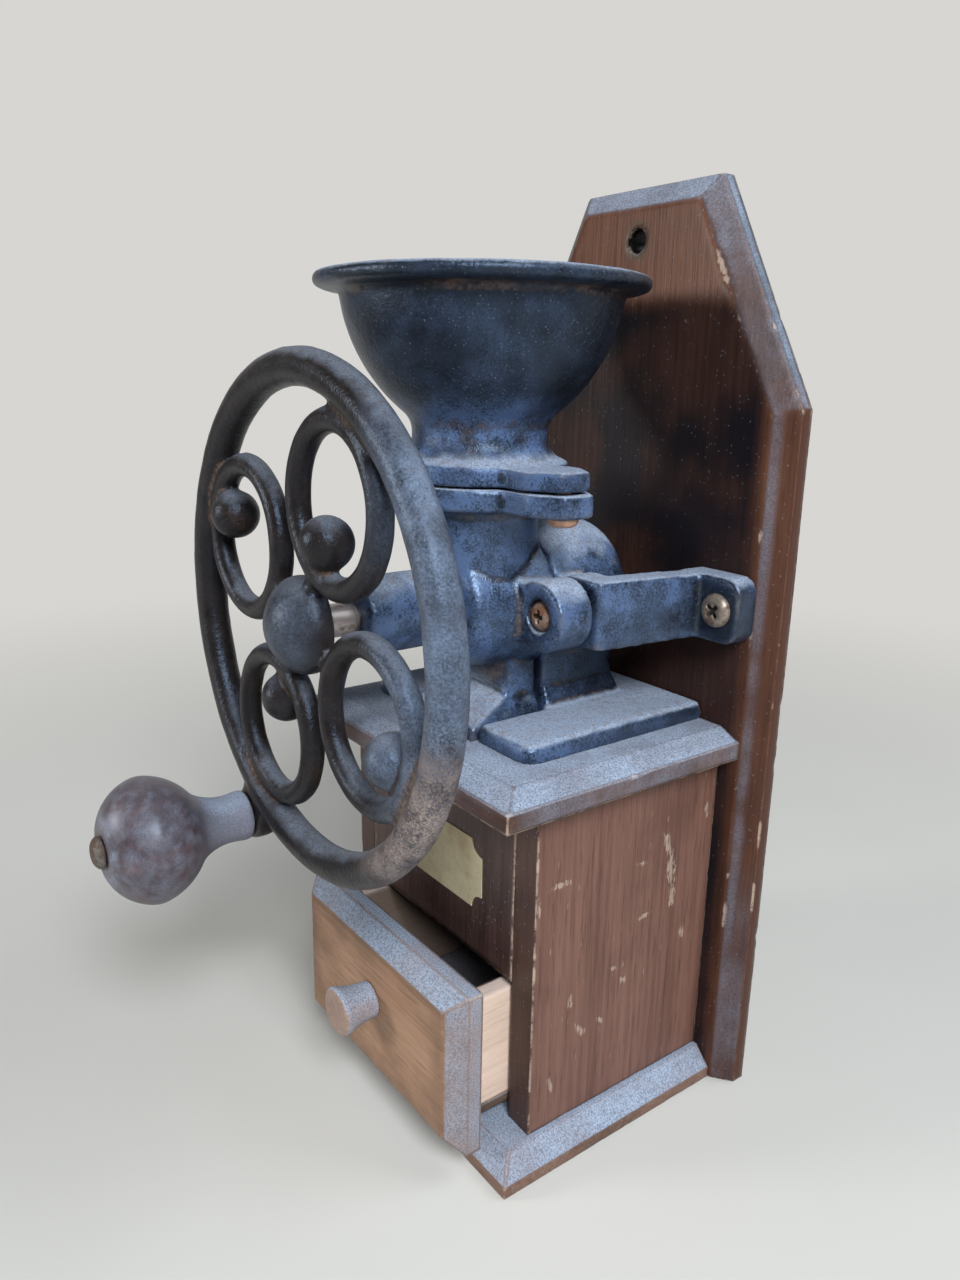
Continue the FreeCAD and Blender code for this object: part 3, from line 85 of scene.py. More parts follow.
HUB = (0, -74, SHAFT_HEIGHT)
RIM_CRUST = (52, WHEEL_Y, 117)
BRACKET_SCREW = (46.4, 32, SHAFT_HEIGHT)
HOUSING_SCREW = (25.5, -13, SHAFT_HEIGHT)
# Swing, in millimetres, of the wavy top of the grime and painted hopper shadow on the back board
GRIME_AND_SHADOW_WAVES = 12

# Pairs of places or distances, in millimetres, where a change of colour or dust begins and ends

# The next four: where the painted sheen on the iron changes
BOWL_FOOT = (198, 208)
ARM_LEVELS = (139, 160)
BARREL_LENGTH = (-28, 8)
RIM_RIGHT = (30, 52)
RIM_BAND = (54, 61)
# The next two: top and sides of the grime and painted hopper shadow on the back board
GRIME_AND_SHADOW_TOP = (228, 237)
GRIME_AND_SHADOW_SIDES = (46, 53)
SHOULDER = (205, 215)
SHOULDER_DUST = (203, 215)
BOARD_FOOT = (35, 80)
# Painted shade on the drawer's inner faces, coming in over this distance from the middle
INNER_SHADE_SIDES = (4, 20)
PALE_FLOOR = (150, 750)
FLOOR_BEHIND = (-450, -150)


# Shapes: dense copies of the CAD solids with softened, worn or cast edges

SEED_STEP = 17.31
AXIS_FACTORS = (374761393, 668265263, 2147483647)
MIX_FACTOR = 1274126177
LOW_BITS = 0xFFFF

TINY = 1e-6
CAST_LUMPS = ((9.0, 0.6), (3.2, 0.4))
BULGE_ROUNDS = 14
EDGE_BULGE = 0.35
HOLLOW_BULGE = 0.15
NICK_SIZE, SMALL_NICK_SIZE, RUB_SIZE = 6.0, 2.3, 26.0
MARK_DEPTH = 0.15
OUT_OF_REACH = 999.0


def lumps(points, size, seed):
    """Smooth random values from -1 to 1 at points, in lumps of a given size in millimetres."""
    cell = points / (size * MM) + seed * SEED_STEP
    base = np.floor(cell).astype(np.int64)
    part = cell - base
    part = part * part * (3 - 2 * part)
    total = np.zeros(len(points))
    for corner in np.ndindex(2, 2, 2):
        mixed = ((base + corner) * AXIS_FACTORS).sum(1)
        mixed = (mixed ^ (mixed >> 13)) * MIX_FACTOR
        value = ((mixed ^ (mixed >> 16)) & LOW_BITS) * 2 / LOW_BITS - 1
        total += value * np.prod(np.where(corner, part, 1 - part), axis=1)
    return total


class Surface:
    """A mesh's points as arrays, to smooth and push them."""

    def __init__(self, mesh):
        self.mesh = mesh
        count = len(mesh.vertices)
        points = np.empty(count * 3, np.float32)
        mesh.vertices.foreach_get("co", points)
        self.points = points.reshape(-1, 3).astype(float)
        edges = np.empty(len(mesh.edges) * 2, np.int32)
        mesh.edges.foreach_get("vertices", edges)
        self.edges = edges.reshape(-1, 2)
        self.valence = np.maximum(np.bincount(edges, minlength=count), 1)

    def averaged(self, values):
        """The mean of each point's neighbours."""
        a, b = self.edges.T
        count = len(self.points)
        columns = []
        for column in values.T:
            columns.append(np.bincount(a, column[b], count) + np.bincount(b, column[a], count))
        return np.stack(columns, 1) / self.valence[:, None]

    def smoothed(self, rounds):
        """The points, drawn halfway to their neighbours' mean a number of times."""
        points = self.points
        for _ in range(rounds):
            points = points + (self.averaged(points) - points) / 2
        return points

    def write(self):
        self.mesh.vertices.foreach_set("co", self.points.astype(np.float32).ravel())
        self.mesh.update()

    def normals(self):
        self.write()
        found = np.empty(len(self.points) * 3, np.float32)
        self.mesh.vertex_normals.foreach_get("vector", found)
        return found.reshape(-1, 3).astype(float)

    def keep(self, name, values):
        """Store a value per point for the materials."""
        layer = self.mesh.attributes.new(name, "FLOAT", "POINT")
        layer.data.foreach_set("value", np.clip(values, 0, 1).astype(np.float32))


def dense_copy(node, **settings):
    """An even mesh of small quads in the shape of a CAD node, by a remesh with these settings."""
    mesh = NODES[node].data.copy()
    shape = bmesh.new()
    shape.from_mesh(mesh)
    bmesh.ops.remove_doubles(shape, verts=shape.verts, dist=TINY)
    shape.to_mesh(mesh)
    shape.free()
    piece = bpy.data.objects.new(node + "_shape", mesh)
    bpy.context.scene.collection.objects.link(piece)
    remesh = piece.modifiers.new("even", "REMESH")
    remesh.use_smooth_shade = True
    for name, value in settings.items():
        setattr(remesh, name, value)
    evaluated = piece.evaluated_get(bpy.context.evaluated_depsgraph_get())
    piece.data = bpy.data.meshes.new_from_object(evaluated)
    piece.modifiers.clear()
    piece.data.name = node + "_shape"
    return piece


def stand_in(piece, node, material):
    """Let a piece take a CAD node's place."""
    piece.data.materials.clear()
    piece.data.materials.append(material)
    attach(piece, BODY_OF[node])
    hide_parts(node)


def soft_piece(node, material, voxel, rounds, swell, lump, seed):
    """A cast or turned piece: blended corners and a slightly uneven skin, with sizes in millimetres."""
    piece = dense_copy(node, mode="VOXEL", voxel_size=voxel * MM)
    surface = Surface(piece.data)
    surface.points = surface.smoothed(rounds)
    normals = surface.normals()
    uneven = np.zeros(len(surface.points))
    for layer, (size, share) in enumerate(CAST_LUMPS):
        uneven += lumps(surface.points, size, seed + layer) * share
    surface.points += normals * (swell * MM + uneven * lump * MM)[:, None]
    out = surface.points - surface.smoothed(BULGE_ROUNDS)
    bulge = (out * surface.normals()).sum(1) / (voxel * MM)
    surface.keep("edge", (bulge - EDGE_BULGE) / EDGE_BULGE)
    surface.keep("hollow", -bulge / HOLLOW_BULGE)
    surface.write()
    stand_in(piece, node, material)


def round_off(surface, x, z, radius):
    """Draw the points close to a hole along Y onto its circle."""
    across = surface.points[:, 0] - x * MM
    upward = surface.points[:, 2] - z * MM
    reach = np.hypot(across, upward)
    found = (0, radius - 1, radius + 0.8, radius + 3, OUT_OF_REACH)
    wanted = (0, radius, radius, radius + 3, OUT_OF_REACH)
    scale = np.interp(reach / MM, found, wanted) * MM / np.maximum(reach, TINY)
    surface.points[:, 0] = x * MM + across * scale
    surface.points[:, 2] = z * MM + upward * scale


def strokes(points, face, marks):
    """1 in the middle of strokes on the side face at this x, fading out around each."""
    total = np.zeros(len(points))
    off_face = np.abs(points[:, 0] - face * MM) > 0.6 * MM
    for y, z, length, width, lean in marks:
        beside = points[:, 1] - y * MM
        over = points[:, 2] - z * MM
        along = (beside * math.cos(lean) + over * math.sin(lean)) / (length * MM / 2)
        across = (over * math.cos(lean) - beside * math.sin(lean)) / (width * MM / 2)
        reach = np.hypot(along, across) + off_face * OUT_OF_REACH
        total = np.maximum(total, np.clip(1.5 - reach, 0, 1))
    return total


def board(node, material, depth, chip, seed, hole=None, marks=()):
    """A sawn wooden piece: flat faces, and crisp edges that are rubbed and chipped by chip millimetres."""
    piece = dense_copy(node, mode="SHARP", octree_depth=depth, scale=0.9, sharpness=1.0,
                       use_remove_disconnected=False)
    surface = Surface(piece.data)
    normals = surface.normals()
    a, b = surface.edges.T
    cell = np.median(np.linalg.norm(surface.points[a] - surface.points[b], axis=1))
    out = surface.points - surface.averaged(surface.points)
    bulge = (out * normals).sum(1) / (0.3 * cell)
    edge = np.clip(bulge, 0, 1)
    drawn = np.clip(0.6 * bulge + 0.6 * surface.averaged(edge[:, None])[:, 0], 0, 1)
    if hole is not None:
        round_off(surface, *hole)
    large = lumps(surface.points, NICK_SIZE, seed)
    small = lumps(surface.points, SMALL_NICK_SIZE, seed + 3)
    nicks = np.clip(large + 0.6 * small - 0.5, 0, 1)
    rub = 0.5 + 0.5 * lumps(surface.points, RUB_SIZE, seed + 5)
    cut = strokes(surface.points, span(node, "x")[1], marks)
    loss = edge * chip * (0.12 + 0.9 * nicks + 0.25 * rub) + cut * MARK_DEPTH
    surface.points -= normals * (loss * MM)[:, None]
    surface.keep("mark", cut)
    surface.keep("edge", drawn)
    surface.keep("hollow", -bulge)
    surface.keep("nick", edge * nicks * 2.5)
    surface.write()
    stand_in(piece, node, material)


# Materials

def shade(colour, share):
    """A colour made darker or lighter."""
    return tuple(c * share for c in colour)


def stretched(along, share):
    """A scale per axis that draws a pattern out along one of them."""
    return tuple(share if axis == along else 1 for axis in "xyz")


class Paint:
    """A procedural material on the object's own coordinates, with short ways to add nodes."""

    def __init__(self, name):
        self.material = bpy.data.materials.new(name)
        self.material.use_nodes = True
        self.tree = self.material.node_tree
        self.tree.nodes.clear()
        self.shader = self.tree.nodes.new("ShaderNodeBsdfPrincipled")
        self.output = self.tree.nodes.new("ShaderNodeOutputMaterial")
        self.tree.links.new(self.shader.outputs[0], self.output.inputs[0])
        place = self.tree.nodes.new("ShaderNodeTexCoord")
        self.where = place.outputs["Object"]
        self.facing = place.outputs["Normal"]

    def fill(self, socket, value):
        if isinstance(value, bpy.types.NodeSocket):
            self.tree.links.new(value, socket)
        elif isinstance(value, tuple) and len(value) == 3 and socket.type == "RGBA":
            socket.default_value = (*value, 1)
        else:
            socket.default_value = value

    def add(self, kind, inputs, **settings):
        made = self.tree.nodes.new(kind)
        for name, value in settings.items():
            setattr(made, name, value)
        for name, value in inputs.items():
            self.fill(made.inputs[name], value)
        return made

    def set(self, **values):
        """Fill the shader's own sockets, named with underscores for spaces."""
        for name, value in values.items():
            self.fill(self.shader.inputs[name.replace("_", " ")], value)

    def calc(self, kind, a, b=0.0):
        return self.add("ShaderNodeMath", {0: a, 1: b}, operation=kind).outputs[0]

    def chain(self, kind, values):
        total = values[0]
        for value in values[1:]:
            total = self.calc(kind, total, value)
        return total

    def plus(self, *values):
        return self.chain("ADD", values)

    def times(self, *values):
        return self.chain("MULTIPLY", values)

    def most(self, *values):
        return self.chain("MAXIMUM", values)

    def opposite(self, value):
        """1 where the value is 0, and 0 where it is 1."""
        return self.calc("SUBTRACT", 1.0, value)

    def swing(self, value, reach):
        """A noise around 0.5 as a push either way, by up to half of reach."""
        return self.times(self.calc("SUBTRACT", value, 0.5), reach)

    def step(self, value, low, high):
        """0 below low, 1 above high and smooth between."""
        made = self.add("ShaderNodeMapRange", {"Value": value}, interpolation_type="SMOOTHSTEP")
        made.inputs["From Min"].default_value = low
        made.inputs["From Max"].default_value = high
        return made.outputs[0]

    def limit(self, value, low, high):
        """A step of a value in metres, with low and high in millimetres."""
        return self.step(value, low * MM, high * MM)

    def axis(self, source, name):
        return self.add("ShaderNodeSeparateXYZ", {"Vector": source}).outputs["xyz".index(name)]

    def past(self, axis, low, high):
        """0 before a place along an axis and 1 past it, changing from low to high in millimetres."""
        return self.limit(self.axis(self.where, axis), low, high)

    def short_of(self, axis, low, high):
        return self.opposite(self.past(axis, low, high))

    def near(self, place, inner, outer, both=False):
        """1 close to a point in millimetres, or to it and its mirror image across X, fading out."""
        here = self.where
        if both:
            parts = self.add("ShaderNodeSeparateXYZ", {"Vector": here}).outputs
            mirrored = {0: self.calc("ABSOLUTE", parts[0]), 1: parts[1], 2: parts[2]}
            here = self.add("ShaderNodeCombineXYZ", mirrored).outputs[0]
        point = tuple(part * MM for part in place)
        gap = self.add("ShaderNodeVectorMath", {0: here, 1: point}, operation="DISTANCE")
        return self.opposite(self.limit(gap.outputs["Value"], inner, outer))

    def around(self, height, inner, outer):
        """0 near the line along Y at a height on the middle plane and 1 further off, in millimetres."""
        flat = self.add("ShaderNodeVectorMath", {0: self.where, 1: (1, 0, 1)}, operation="MULTIPLY")
        ends = {0: flat.outputs[0], 1: (0, 0, height * MM)}
        gap = self.add("ShaderNodeVectorMath", ends, operation="DISTANCE")
        return self.limit(gap.outputs["Value"], inner, outer)

    def facing_up(self, drift, reach, low, high):
        """1 on faces that look up, with a limit that wanders with a noise."""
        return self.step(self.plus(self.axis(self.facing, "z"), self.swing(drift, reach)), low, high)

    def spread(self, stretch, turn=(0, 0, 0), shift=(0, 0, 0)):
        """The object's coordinates, stretched after a turn."""
        turned = self.add("ShaderNodeMapping", {"Vector": self.where, "Rotation": turn, "Location": shift})
        return self.add("ShaderNodeMapping", {"Vector": turned.outputs[0], "Scale": stretch}).outputs[0]

    def noise(self, scale, detail=3.0, rough=0.5, stretch=(1, 1, 1), twist=0.0, shift=0.0):
        place = self.spread(stretch, shift=(shift, shift * 0.7, shift * 1.3))
        look = {"Scale": scale, "Detail": detail, "Roughness": rough, "Distortion": twist}
        return self.add("ShaderNodeTexNoise", {"Vector": place, **look}).outputs[0]

    def specks(self, scale, size, share, stretch=(1, 1, 1), turn=(0, 0, 0), shift=0.0):
        """Small separate spots: one in some of the cells of a grid, about size cells wide."""
        place = self.spread(stretch, turn, (shift, shift, shift))
        cells = self.add("ShaderNodeTexVoronoi", {"Vector": place, "Scale": scale})
        chance = self.add("ShaderNodeSeparateColor", {"Color": cells.outputs["Color"]})
        spot = self.opposite(self.step(cells.outputs["Distance"], size * 0.4, size))
        return self.times(spot, self.step(chance.outputs[0], 1 - share - 0.02, 1 - share + 0.02))

    def ramp(self, value, *stops):
        made = self.add("ShaderNodeValToRGB", {"Fac": value})
        marks = made.color_ramp.elements
        while len(marks) < len(stops):
            marks.new(0.5)
        for mark, (place, colour) in zip(marks, stops):
            mark.position = place
            mark.color = (*colour, 1)
        return made.outputs[0]

    def merged(self, share, a, b, ending, kind):
        made = self.add("ShaderNodeMix", {}, data_type=kind)
        sockets = {socket.identifier: socket for socket in (*made.inputs, *made.outputs)}
        self.fill(sockets["Factor_Float"], share)
        self.fill(sockets["A_" + ending], a)
        self.fill(sockets["B_" + ending], b)
        return sockets["Result_" + ending]

    def mix(self, share, a, b):
        """A colour between a and b."""
        return self.merged(share, a, b, "Color", "RGBA")

    def blend(self, share, a, b):
        """A number between a and b."""
        return self.merged(share, a, b, "Float", "FLOAT")

    def stored(self, name):
        """A value that a Surface kept."""
        return self.add("ShaderNodeAttribute", {}, attribute_name=name).outputs["Fac"]

    def bump(self, *layers):
        """Relief from (height, depth in millimetres) layers."""
        normal = None
        for height, depth in layers:
            made = self.add("ShaderNodeBump", {"Height": height, "Distance": depth * MM, "Strength": 1.0})
            if normal is not None:
                self.fill(made.inputs["Normal"], normal)
            normal = made.outputs[0]
        self.set(Normal=normal)


DUST_DARK = (0.175, 0.205, 0.27)
DUST_LIGHT = (0.34, 0.41, 0.53)
EARTHY_DUST = (0.22, 0.155, 0.12)
BARE = (0.50, 0.38, 0.30)
CRUST_DARK = (0.235, 0.170, 0.135)
CRUST_LIGHT = (0.425, 0.355, 0.325)
IRON_DIRT = (0.150, 0.092, 0.056)
WORN_IRON = (0.11, 0.095, 0.09)
IRON_SHINE = (0.52, 0.70, 1.0)
SLOT_DIRT = (0.010, 0.008, 0.007)
VARNISH_SHINE = (0.70, 0.82, 1.0)
# Near black: grime and a painted shadow of the hopper on the back board
GRIME_AND_SHADOW = (0.009, 0.008, 0.011)
LOWER_SIDE = (0.068, 0.030, 0.021)
UPPER_SIDE = (0.026, 0.030, 0.043)
LOWER_SLOPE = (0.032, 0.014, 0.010)
UPPER_SLOPE = (0.046, 0.035, 0.035)
HOLE_RING = (0.085, 0.050, 0.034)
# Painted shade inside the hanging hole
HOLE_SHADE = (0.004, 0.003, 0.003)
PANEL_END = (0.026, 0.015, 0.013)
# Darker tone towards the edges of the drawer's field
FIELD_EDGE_DARK = (0.085, 0.046, 0.028)
# Painted shade on the drawer's inner faces
INNER_SHADE = (0.060, 0.036, 0.025)
PAPER_STAIN = (0.20, 0.14, 0.08)
FLOOR_DARK = (0.575, 0.565, 0.535)
FLOOR_LIGHT = (0.595, 0.585, 0.555)
FLOOR_GLOW = (0.68, 0.67, 0.645)


def scratches(p, seed):
    """Crowds of short scratches: upright, slanted and fine ones."""
    crowd = p.step(p.noise(26, 2, 0.5, shift=seed + 0.5), 0.44, 0.62)
    upright = p.specks(95, 0.10, 0.25, (2.6, 2.6, 0.55), (0.12, 0.1, 0), seed)
    slanted = p.specks(70, 0.075, 0.25, (2.4, 2.0, 0.6), (0.7, 0.3, 0), seed + 0.4)
    fine = p.specks(240, 0.12, 0.22, (2.2, 2.2, 0.35), (0.05, 0, 0), seed + 0.8)
    return p.times(p.most(upright, slanted, p.times(fine, 0.6)), crowd)


def bare_wood(p, wear, scratch, seed):
    """Where the stain is gone: rubbed edges, chips, scratches and the strokes of a board."""
    patchy = p.noise(260, 4, 0.65, shift=seed + 0.2)
    broken = p.step(patchy, 0.35, 0.5)
    rubbed = p.times(p.step(p.stored("edge"), 0.45, 0.95), p.step(patchy, 0.40, 0.58), 0.7 * wear)
    chipped = p.times(p.step(p.stored("nick"), 0.25, 0.75), broken, 0.85 * wear)
    bare = p.most(rubbed, chipped)
    if scratch:
        bare = p.most(bare, p.times(scratches(p, seed), scratch, broken))
    mark = p.stored("mark")
    lines = p.noise(1500, 3, 0.6, (1, 1, 0.22), 0.3, seed + 0.15)
    ragged = p.plus(mark, p.swing(lines, 3.2))
    return p.most(bare, p.times(p.step(ragged, 0.55, 0.95), p.step(mark, 0.02, 0.3), 0.62))


def wood(name, dark, middle, light, along, gloss=0.42, dust=1.0, wear=1.0, scratch=0.0, seed=0.0,
         stain=None, ledge=None, shelter=None, shine=0.3, speck=0.25, cloudy=0.35):
    """Stained wood: fibres, pores and figure along one axis, rubbed edges, nicks and settled dust."""
    p = Paint(name)
    fibre = p.noise(640, 4, 0.62, stretched(along, 0.035), 0.15, seed)
    figure = p.noise(70, 4, 0.55, stretched(along, 0.05), 0.8, seed + 0.3)
    pores = p.noise(1500, 2, 0.5, stretched(along, 0.06), 0.0, seed + 0.7)
    cloud = p.noise(30, 4, 0.55, shift=seed + 0.9)
    tone = p.plus(p.times(fibre, 0.62), p.times(figure, 0.38))
    colour = p.ramp(tone, (0.24, dark), (0.50, middle), (0.78, light))
    colour = p.mix(p.times(p.step(pores, 0.55, 0.70), 0.50), colour, dark)
    colour = p.mix(p.times(p.step(cloud, 0.48, 0.74), cloudy), colour, shade(dark, 0.7))
    if stain is not None:
        colour = stain(p, colour)
    bare = bare_wood(p, wear, scratch, seed)
    colour = p.mix(bare, colour, p.ramp(fibre, (0.3, shade(BARE, 0.75)), (0.7, BARE)))
    grains = p.noise(2000, 2, 0.6, shift=seed)
    drift = p.noise(60, 5, 0.65, shift=seed + 0.6)
    lying = p.facing_up(drift, 0.35, 0.14, 0.62)
    if ledge is not None:
        lying = p.most(lying, p.times(ledge(p), p.blend(drift, 0.5, 1.3)))
    touched = p.times(p.step(p.stored("edge"), 0.16, 0.45), p.blend(drift, 0.2, 0.8))
    wiped = p.most(p.times(bare, 0.55), touched)
    if shelter is not None:
        wiped = p.most(wiped, shelter(p))
    open_to_dust = p.opposite(wiped)
    settled = p.times(lying, open_to_dust, p.blend(p.step(drift, 0.3, 0.62), 0.66, 0.98), dust)
    round_flecks = p.specks(700, 0.20, 0.16, shift=seed)
    long_flecks = p.specks(1300, 0.26, 0.16, (1, 1, 0.5), shift=seed + 0.2)
    flecks = p.times(p.most(round_flecks, long_flecks), p.step(cloud, 0.30, 0.55), speck * dust)
    covered = p.most(settled, flecks, p.times(p.stored("hollow"), open_to_dust, 0.4 * dust))
    colour = p.mix(covered, colour, p.ramp(grains, (0.38, DUST_DARK), (0.60, DUST_LIGHT)))
    rough = p.blend(covered, p.blend(fibre, gloss - 0.08, gloss + 0.14), 0.92)
    p.set(Base_Color=colour, Roughness=p.blend(bare, rough, 0.8), Specular_IOR_Level=shine)
    p.bump((fibre, 0.08), (pores, 0.05), (p.times(grains, covered), 0.09), (p.times(bare, -1.0), 0.2))
    return p.material


def iron(name, paint, sheen_colour, brown, sheen_place, rust=0.3, dust=1.0, gloss=0.34, speck=1.0, shine=0.6, seed=0.0,
         grain=0.20, patch=None):
    """Black paint on sand-cast iron: a grainy blue-grey painted sheen, brown rust, dust on top and specks."""
    p = Paint(name)
    mottle = p.noise(160, 4, 0.6, shift=seed)
    blotch = p.noise(60, 5, 0.62, shift=seed + 0.4)
    skin = p.noise(1700, 3, 0.6, shift=seed + 0.1)
    pits = p.noise(720, 3, 0.55, shift=seed + 0.8)
    hollow = p.stored("hollow")
    # A grainy blue-grey painted sheen where light would catch the iron
    grey = p.step(p.plus(p.times(skin, 0.55), p.times(mottle, 0.45)), 0.51 - grain, 0.51 + grain)
    # The painted sheen is cut to 0.15 in hollows, which paints shade into the creases
    sheen = p.times(grey, sheen_place(p), p.blend(p.step(hollow, 0.25, 0.90), 1.0, 0.15))
    colour = p.mix(sheen, p.ramp(mottle, (0.32, paint), (0.70, shade(paint, 2))), sheen_colour)
    where = p.plus(p.swing(blotch, 1.6), p.times(hollow, 0.3))
    if patch is not None:
        spot = patch(p)
        where = p.plus(where, spot)
    rusty = p.times(p.step(where, 0.42 - rust, 0.80 - rust * 0.6), p.step(skin, 0.30, 0.60))
    colour = p.mix(p.times(rusty, 0.85), colour, p.ramp(pits, (0.3, shade(brown, 0.4)), (0.7, brown)))
    if patch is not None:
        flaky = p.step(p.plus(p.times(skin, 0.5), p.times(mottle, 0.5)), 0.36, 0.62)
        crust = p.ramp(skin, (0.35, CRUST_DARK), (0.62, CRUST_LIGHT))
        colour = p.mix(p.times(spot, flaky, 0.75), colour, crust)
    dirt = p.times(p.step(hollow, 0.45, 1.0), p.step(pits, 0.36, 0.60), p.step(blotch, 0.42, 0.62), 0.5)
    colour = p.mix(dirt, colour, IRON_DIRT)
    worn = p.times(p.step(p.stored("edge"), 0.1, 0.8), p.step(mottle, 0.42, 0.62), 0.6)
    colour = p.mix(worn, colour, WORN_IRON)
    spots = p.most(p.specks(760, 0.20, 0.22, shift=seed), p.specks(1500, 0.28, 0.28, shift=seed + 0.3))
    thin = p.times(spots, p.step(blotch, 0.30, 0.60), 0.42 * speck)
    grains = p.noise(2000, 2, 0.6, shift=seed)
    drift = p.noise(150, 4, 0.6, shift=seed + 0.6)
    lying = p.facing_up(drift, 0.7, 0.45, 0.95)
    covered = p.times(p.most(p.times(lying, 0.84), thin), dust)
    earthy = p.times(p.step(p.noise(700, 3, 0.6, shift=seed + 0.5), 0.50, 0.68), 0.65)
    dusty = p.mix(earthy, p.ramp(grains, (0.34, DUST_DARK), (0.62, DUST_LIGHT)), EARTHY_DUST)
    colour = p.mix(covered, colour, dusty)
    rough = p.blend(rusty, p.blend(mottle, gloss - 0.05, gloss + 0.14), 0.70)
    p.set(Base_Color=colour, Roughness=p.blend(covered, rough, 0.92))
    p.set(Specular_IOR_Level=shine, Specular_Tint=IRON_SHINE)
    p.bump((pits, 0.16), (skin, 0.10), (p.times(grains, covered), 0.10))
    return p.material


def steel(name, bright, dull, brown, rust=0.5, metal=0.85, seed=0.0):
    """Bare metal that has gone dull and partly rusty, with dirt in its hollows."""
    p = Paint(name)
    rings = p.noise(900, 3, 0.5, stretched("y", 0.2), shift=seed)
    blotch = p.noise(260, 4, 0.6, shift=seed + 0.5)
    grains = p.noise(1900, 2, 0.6, shift=seed)
    colour = p.ramp(rings, (0.3, dull), (0.7, bright))
    rusty = p.step(blotch, 0.62 - 0.3 * rust, 0.80 - 0.3 * rust)
    colour = p.mix(rusty, colour, p.ramp(grains, (0.3, shade(brown, 0.45)), (0.7, brown)))
    dirt = p.step(p.stored("hollow"), 0.15, 0.7)
    colour = p.mix(p.times(dirt, 0.92), colour, SLOT_DIRT)
    clean = p.opposite(p.most(rusty, dirt))
    rough = p.blend(clean, 0.85, p.blend(rings, 0.36, 0.55))
    p.set(Base_Color=colour, Roughness=rough, Metallic=p.times(clean, metal))
    p.bump((rings, 0.04), (p.times(grains, rusty), 0.10))
    return p.material


def mill_sheen(p):
    """Where the mill's painted sheen lies: it is blackest on the hopper's bowl, low on the arms and around the
    screws, palest in front. The dark bowl and low arms are painted shade, the pale front is a painted highlight on
    the barrel and boss, and the screws are grimy.
    """
    below_bowl = p.short_of("z", *BOWL_FOOT)
    on_pads = p.near(BRACKET_SCREW, inner=5, outer=14, both=True)
    on_ears = p.near(HOUSING_SCREW, inner=3, outer=8, both=True)
    clean = p.opposite(p.times(p.most(on_pads, on_ears), 0.85))
    # Painted shade low on the arms, and a painted highlight on the barrel and boss in front
    on_arms = p.blend(p.past("z", *ARM_LEVELS), 0.62, 1.12)
    in_front = p.blend(p.past("y", *BARREL_LENGTH), 2.4, 1.0)
    clouds = p.blend(p.step(p.noise(75, 3, shift=0.7), 0.36, 0.62), 0.40, 1.25)
    return p.times(p.blend(below_bowl, 0.10, 1.0), clean, on_arms, in_front, clouds)


def wheel_sheen(p):
    """Painted sheen on the wheel: the right side of the rim is greyer than the rest of the wheel, and the hub a
    little.
    """
    grey = p.most(p.past("x", *RIM_RIGHT), p.times(p.near(HUB, inner=8, outer=15), 0.40))
    return p.times(p.blend(grey, 0.03, 1.0), p.noise(80, 3, shift=0.2), 1.6)


def rim_crust(p):
    """A rusty stretch low on the right of the rim."""
    return p.times(p.near(RIM_CRUST, inner=6, outer=34), p.around(SHAFT_HEIGHT, *RIM_BAND), 0.9)


def in_hole(p):
    """The inside of the hanging hole."""
    return p.opposite(p.around(HOLE_HEIGHT, HOLE_RADIUS + 0.15, HOLE_RADIUS + 0.45))


def board_slope(p):
    """The chamfers of the back board."""
    behind_face = p.past("y", BOARD_FRONT + 0.1, BOARD_FRONT + 0.5)
    return p.times(behind_face, p.short_of("y", SIDE_FRONT - 0.5, SIDE_FRONT - 0.1))


def board_grime_and_shadow(p, colour):
    """The board is black behind the mill, as grime and a painted shadow of the hopper both, and black in the
    hanging hole as painted shade; it is darker on its chamfers and sides.
    """
    # Grime and a painted shadow of the hopper, below a wavy line near the height of the hopper's rim
    wavy = p.plus(p.axis(p.where, "z"), p.swing(p.noise(30, 3), GRIME_AND_SHADOW_WAVES * MM))
    behind = p.opposite(p.limit(wavy, *GRIME_AND_SHADOW_TOP))
    middle = p.opposite(p.limit(p.calc("ABSOLUTE", p.axis(p.where, "x")), *GRIME_AND_SHADOW_SIDES))
    patches = p.blend(p.step(p.noise(24, 3, shift=0.4), 0.36, 0.56), 0.70, 0.98)
    front = p.short_of("y", BOARD_FRONT + 0.3, BOARD_FRONT + 0.9)
    colour = p.mix(p.times(behind, middle, patches, front), colour, GRIME_AND_SHADOW)
    upper = p.past("z", *SHOULDER)
    before_back = p.short_of("y", BOARD_BACK - 0.2, BOARD_BACK)
    sides = p.times(p.past("y", SIDE_FRONT - 0.2, SIDE_FRONT), before_back)
    colour = p.mix(p.times(sides, 0.95), colour, p.mix(upper, LOWER_SIDE, UPPER_SIDE))
    slope = p.times(board_slope(p), p.blend(upper, 0.45, 0.65))
    colour = p.mix(slope, colour, p.mix(upper, LOWER_SLOPE, UPPER_SLOPE))
    ring = p.opposite(p.around(HOLE_HEIGHT, HOLE_RADIUS + 1.25, HOLE_RADIUS + 2.75))
    # Painted shade: the inside of the hanging hole is near black
    return p.mix(in_hole(p), p.mix(ring, colour, HOLE_RING), HOLE_SHADE)


def panel_end(p, colour):
    """The front ends of the side panels are darker than their faces."""
    front = p.short_of("y", PANEL_FRONT + 0.1, PANEL_FRONT + 0.7)
    return p.mix(p.times(front, 0.7), colour, PANEL_END)


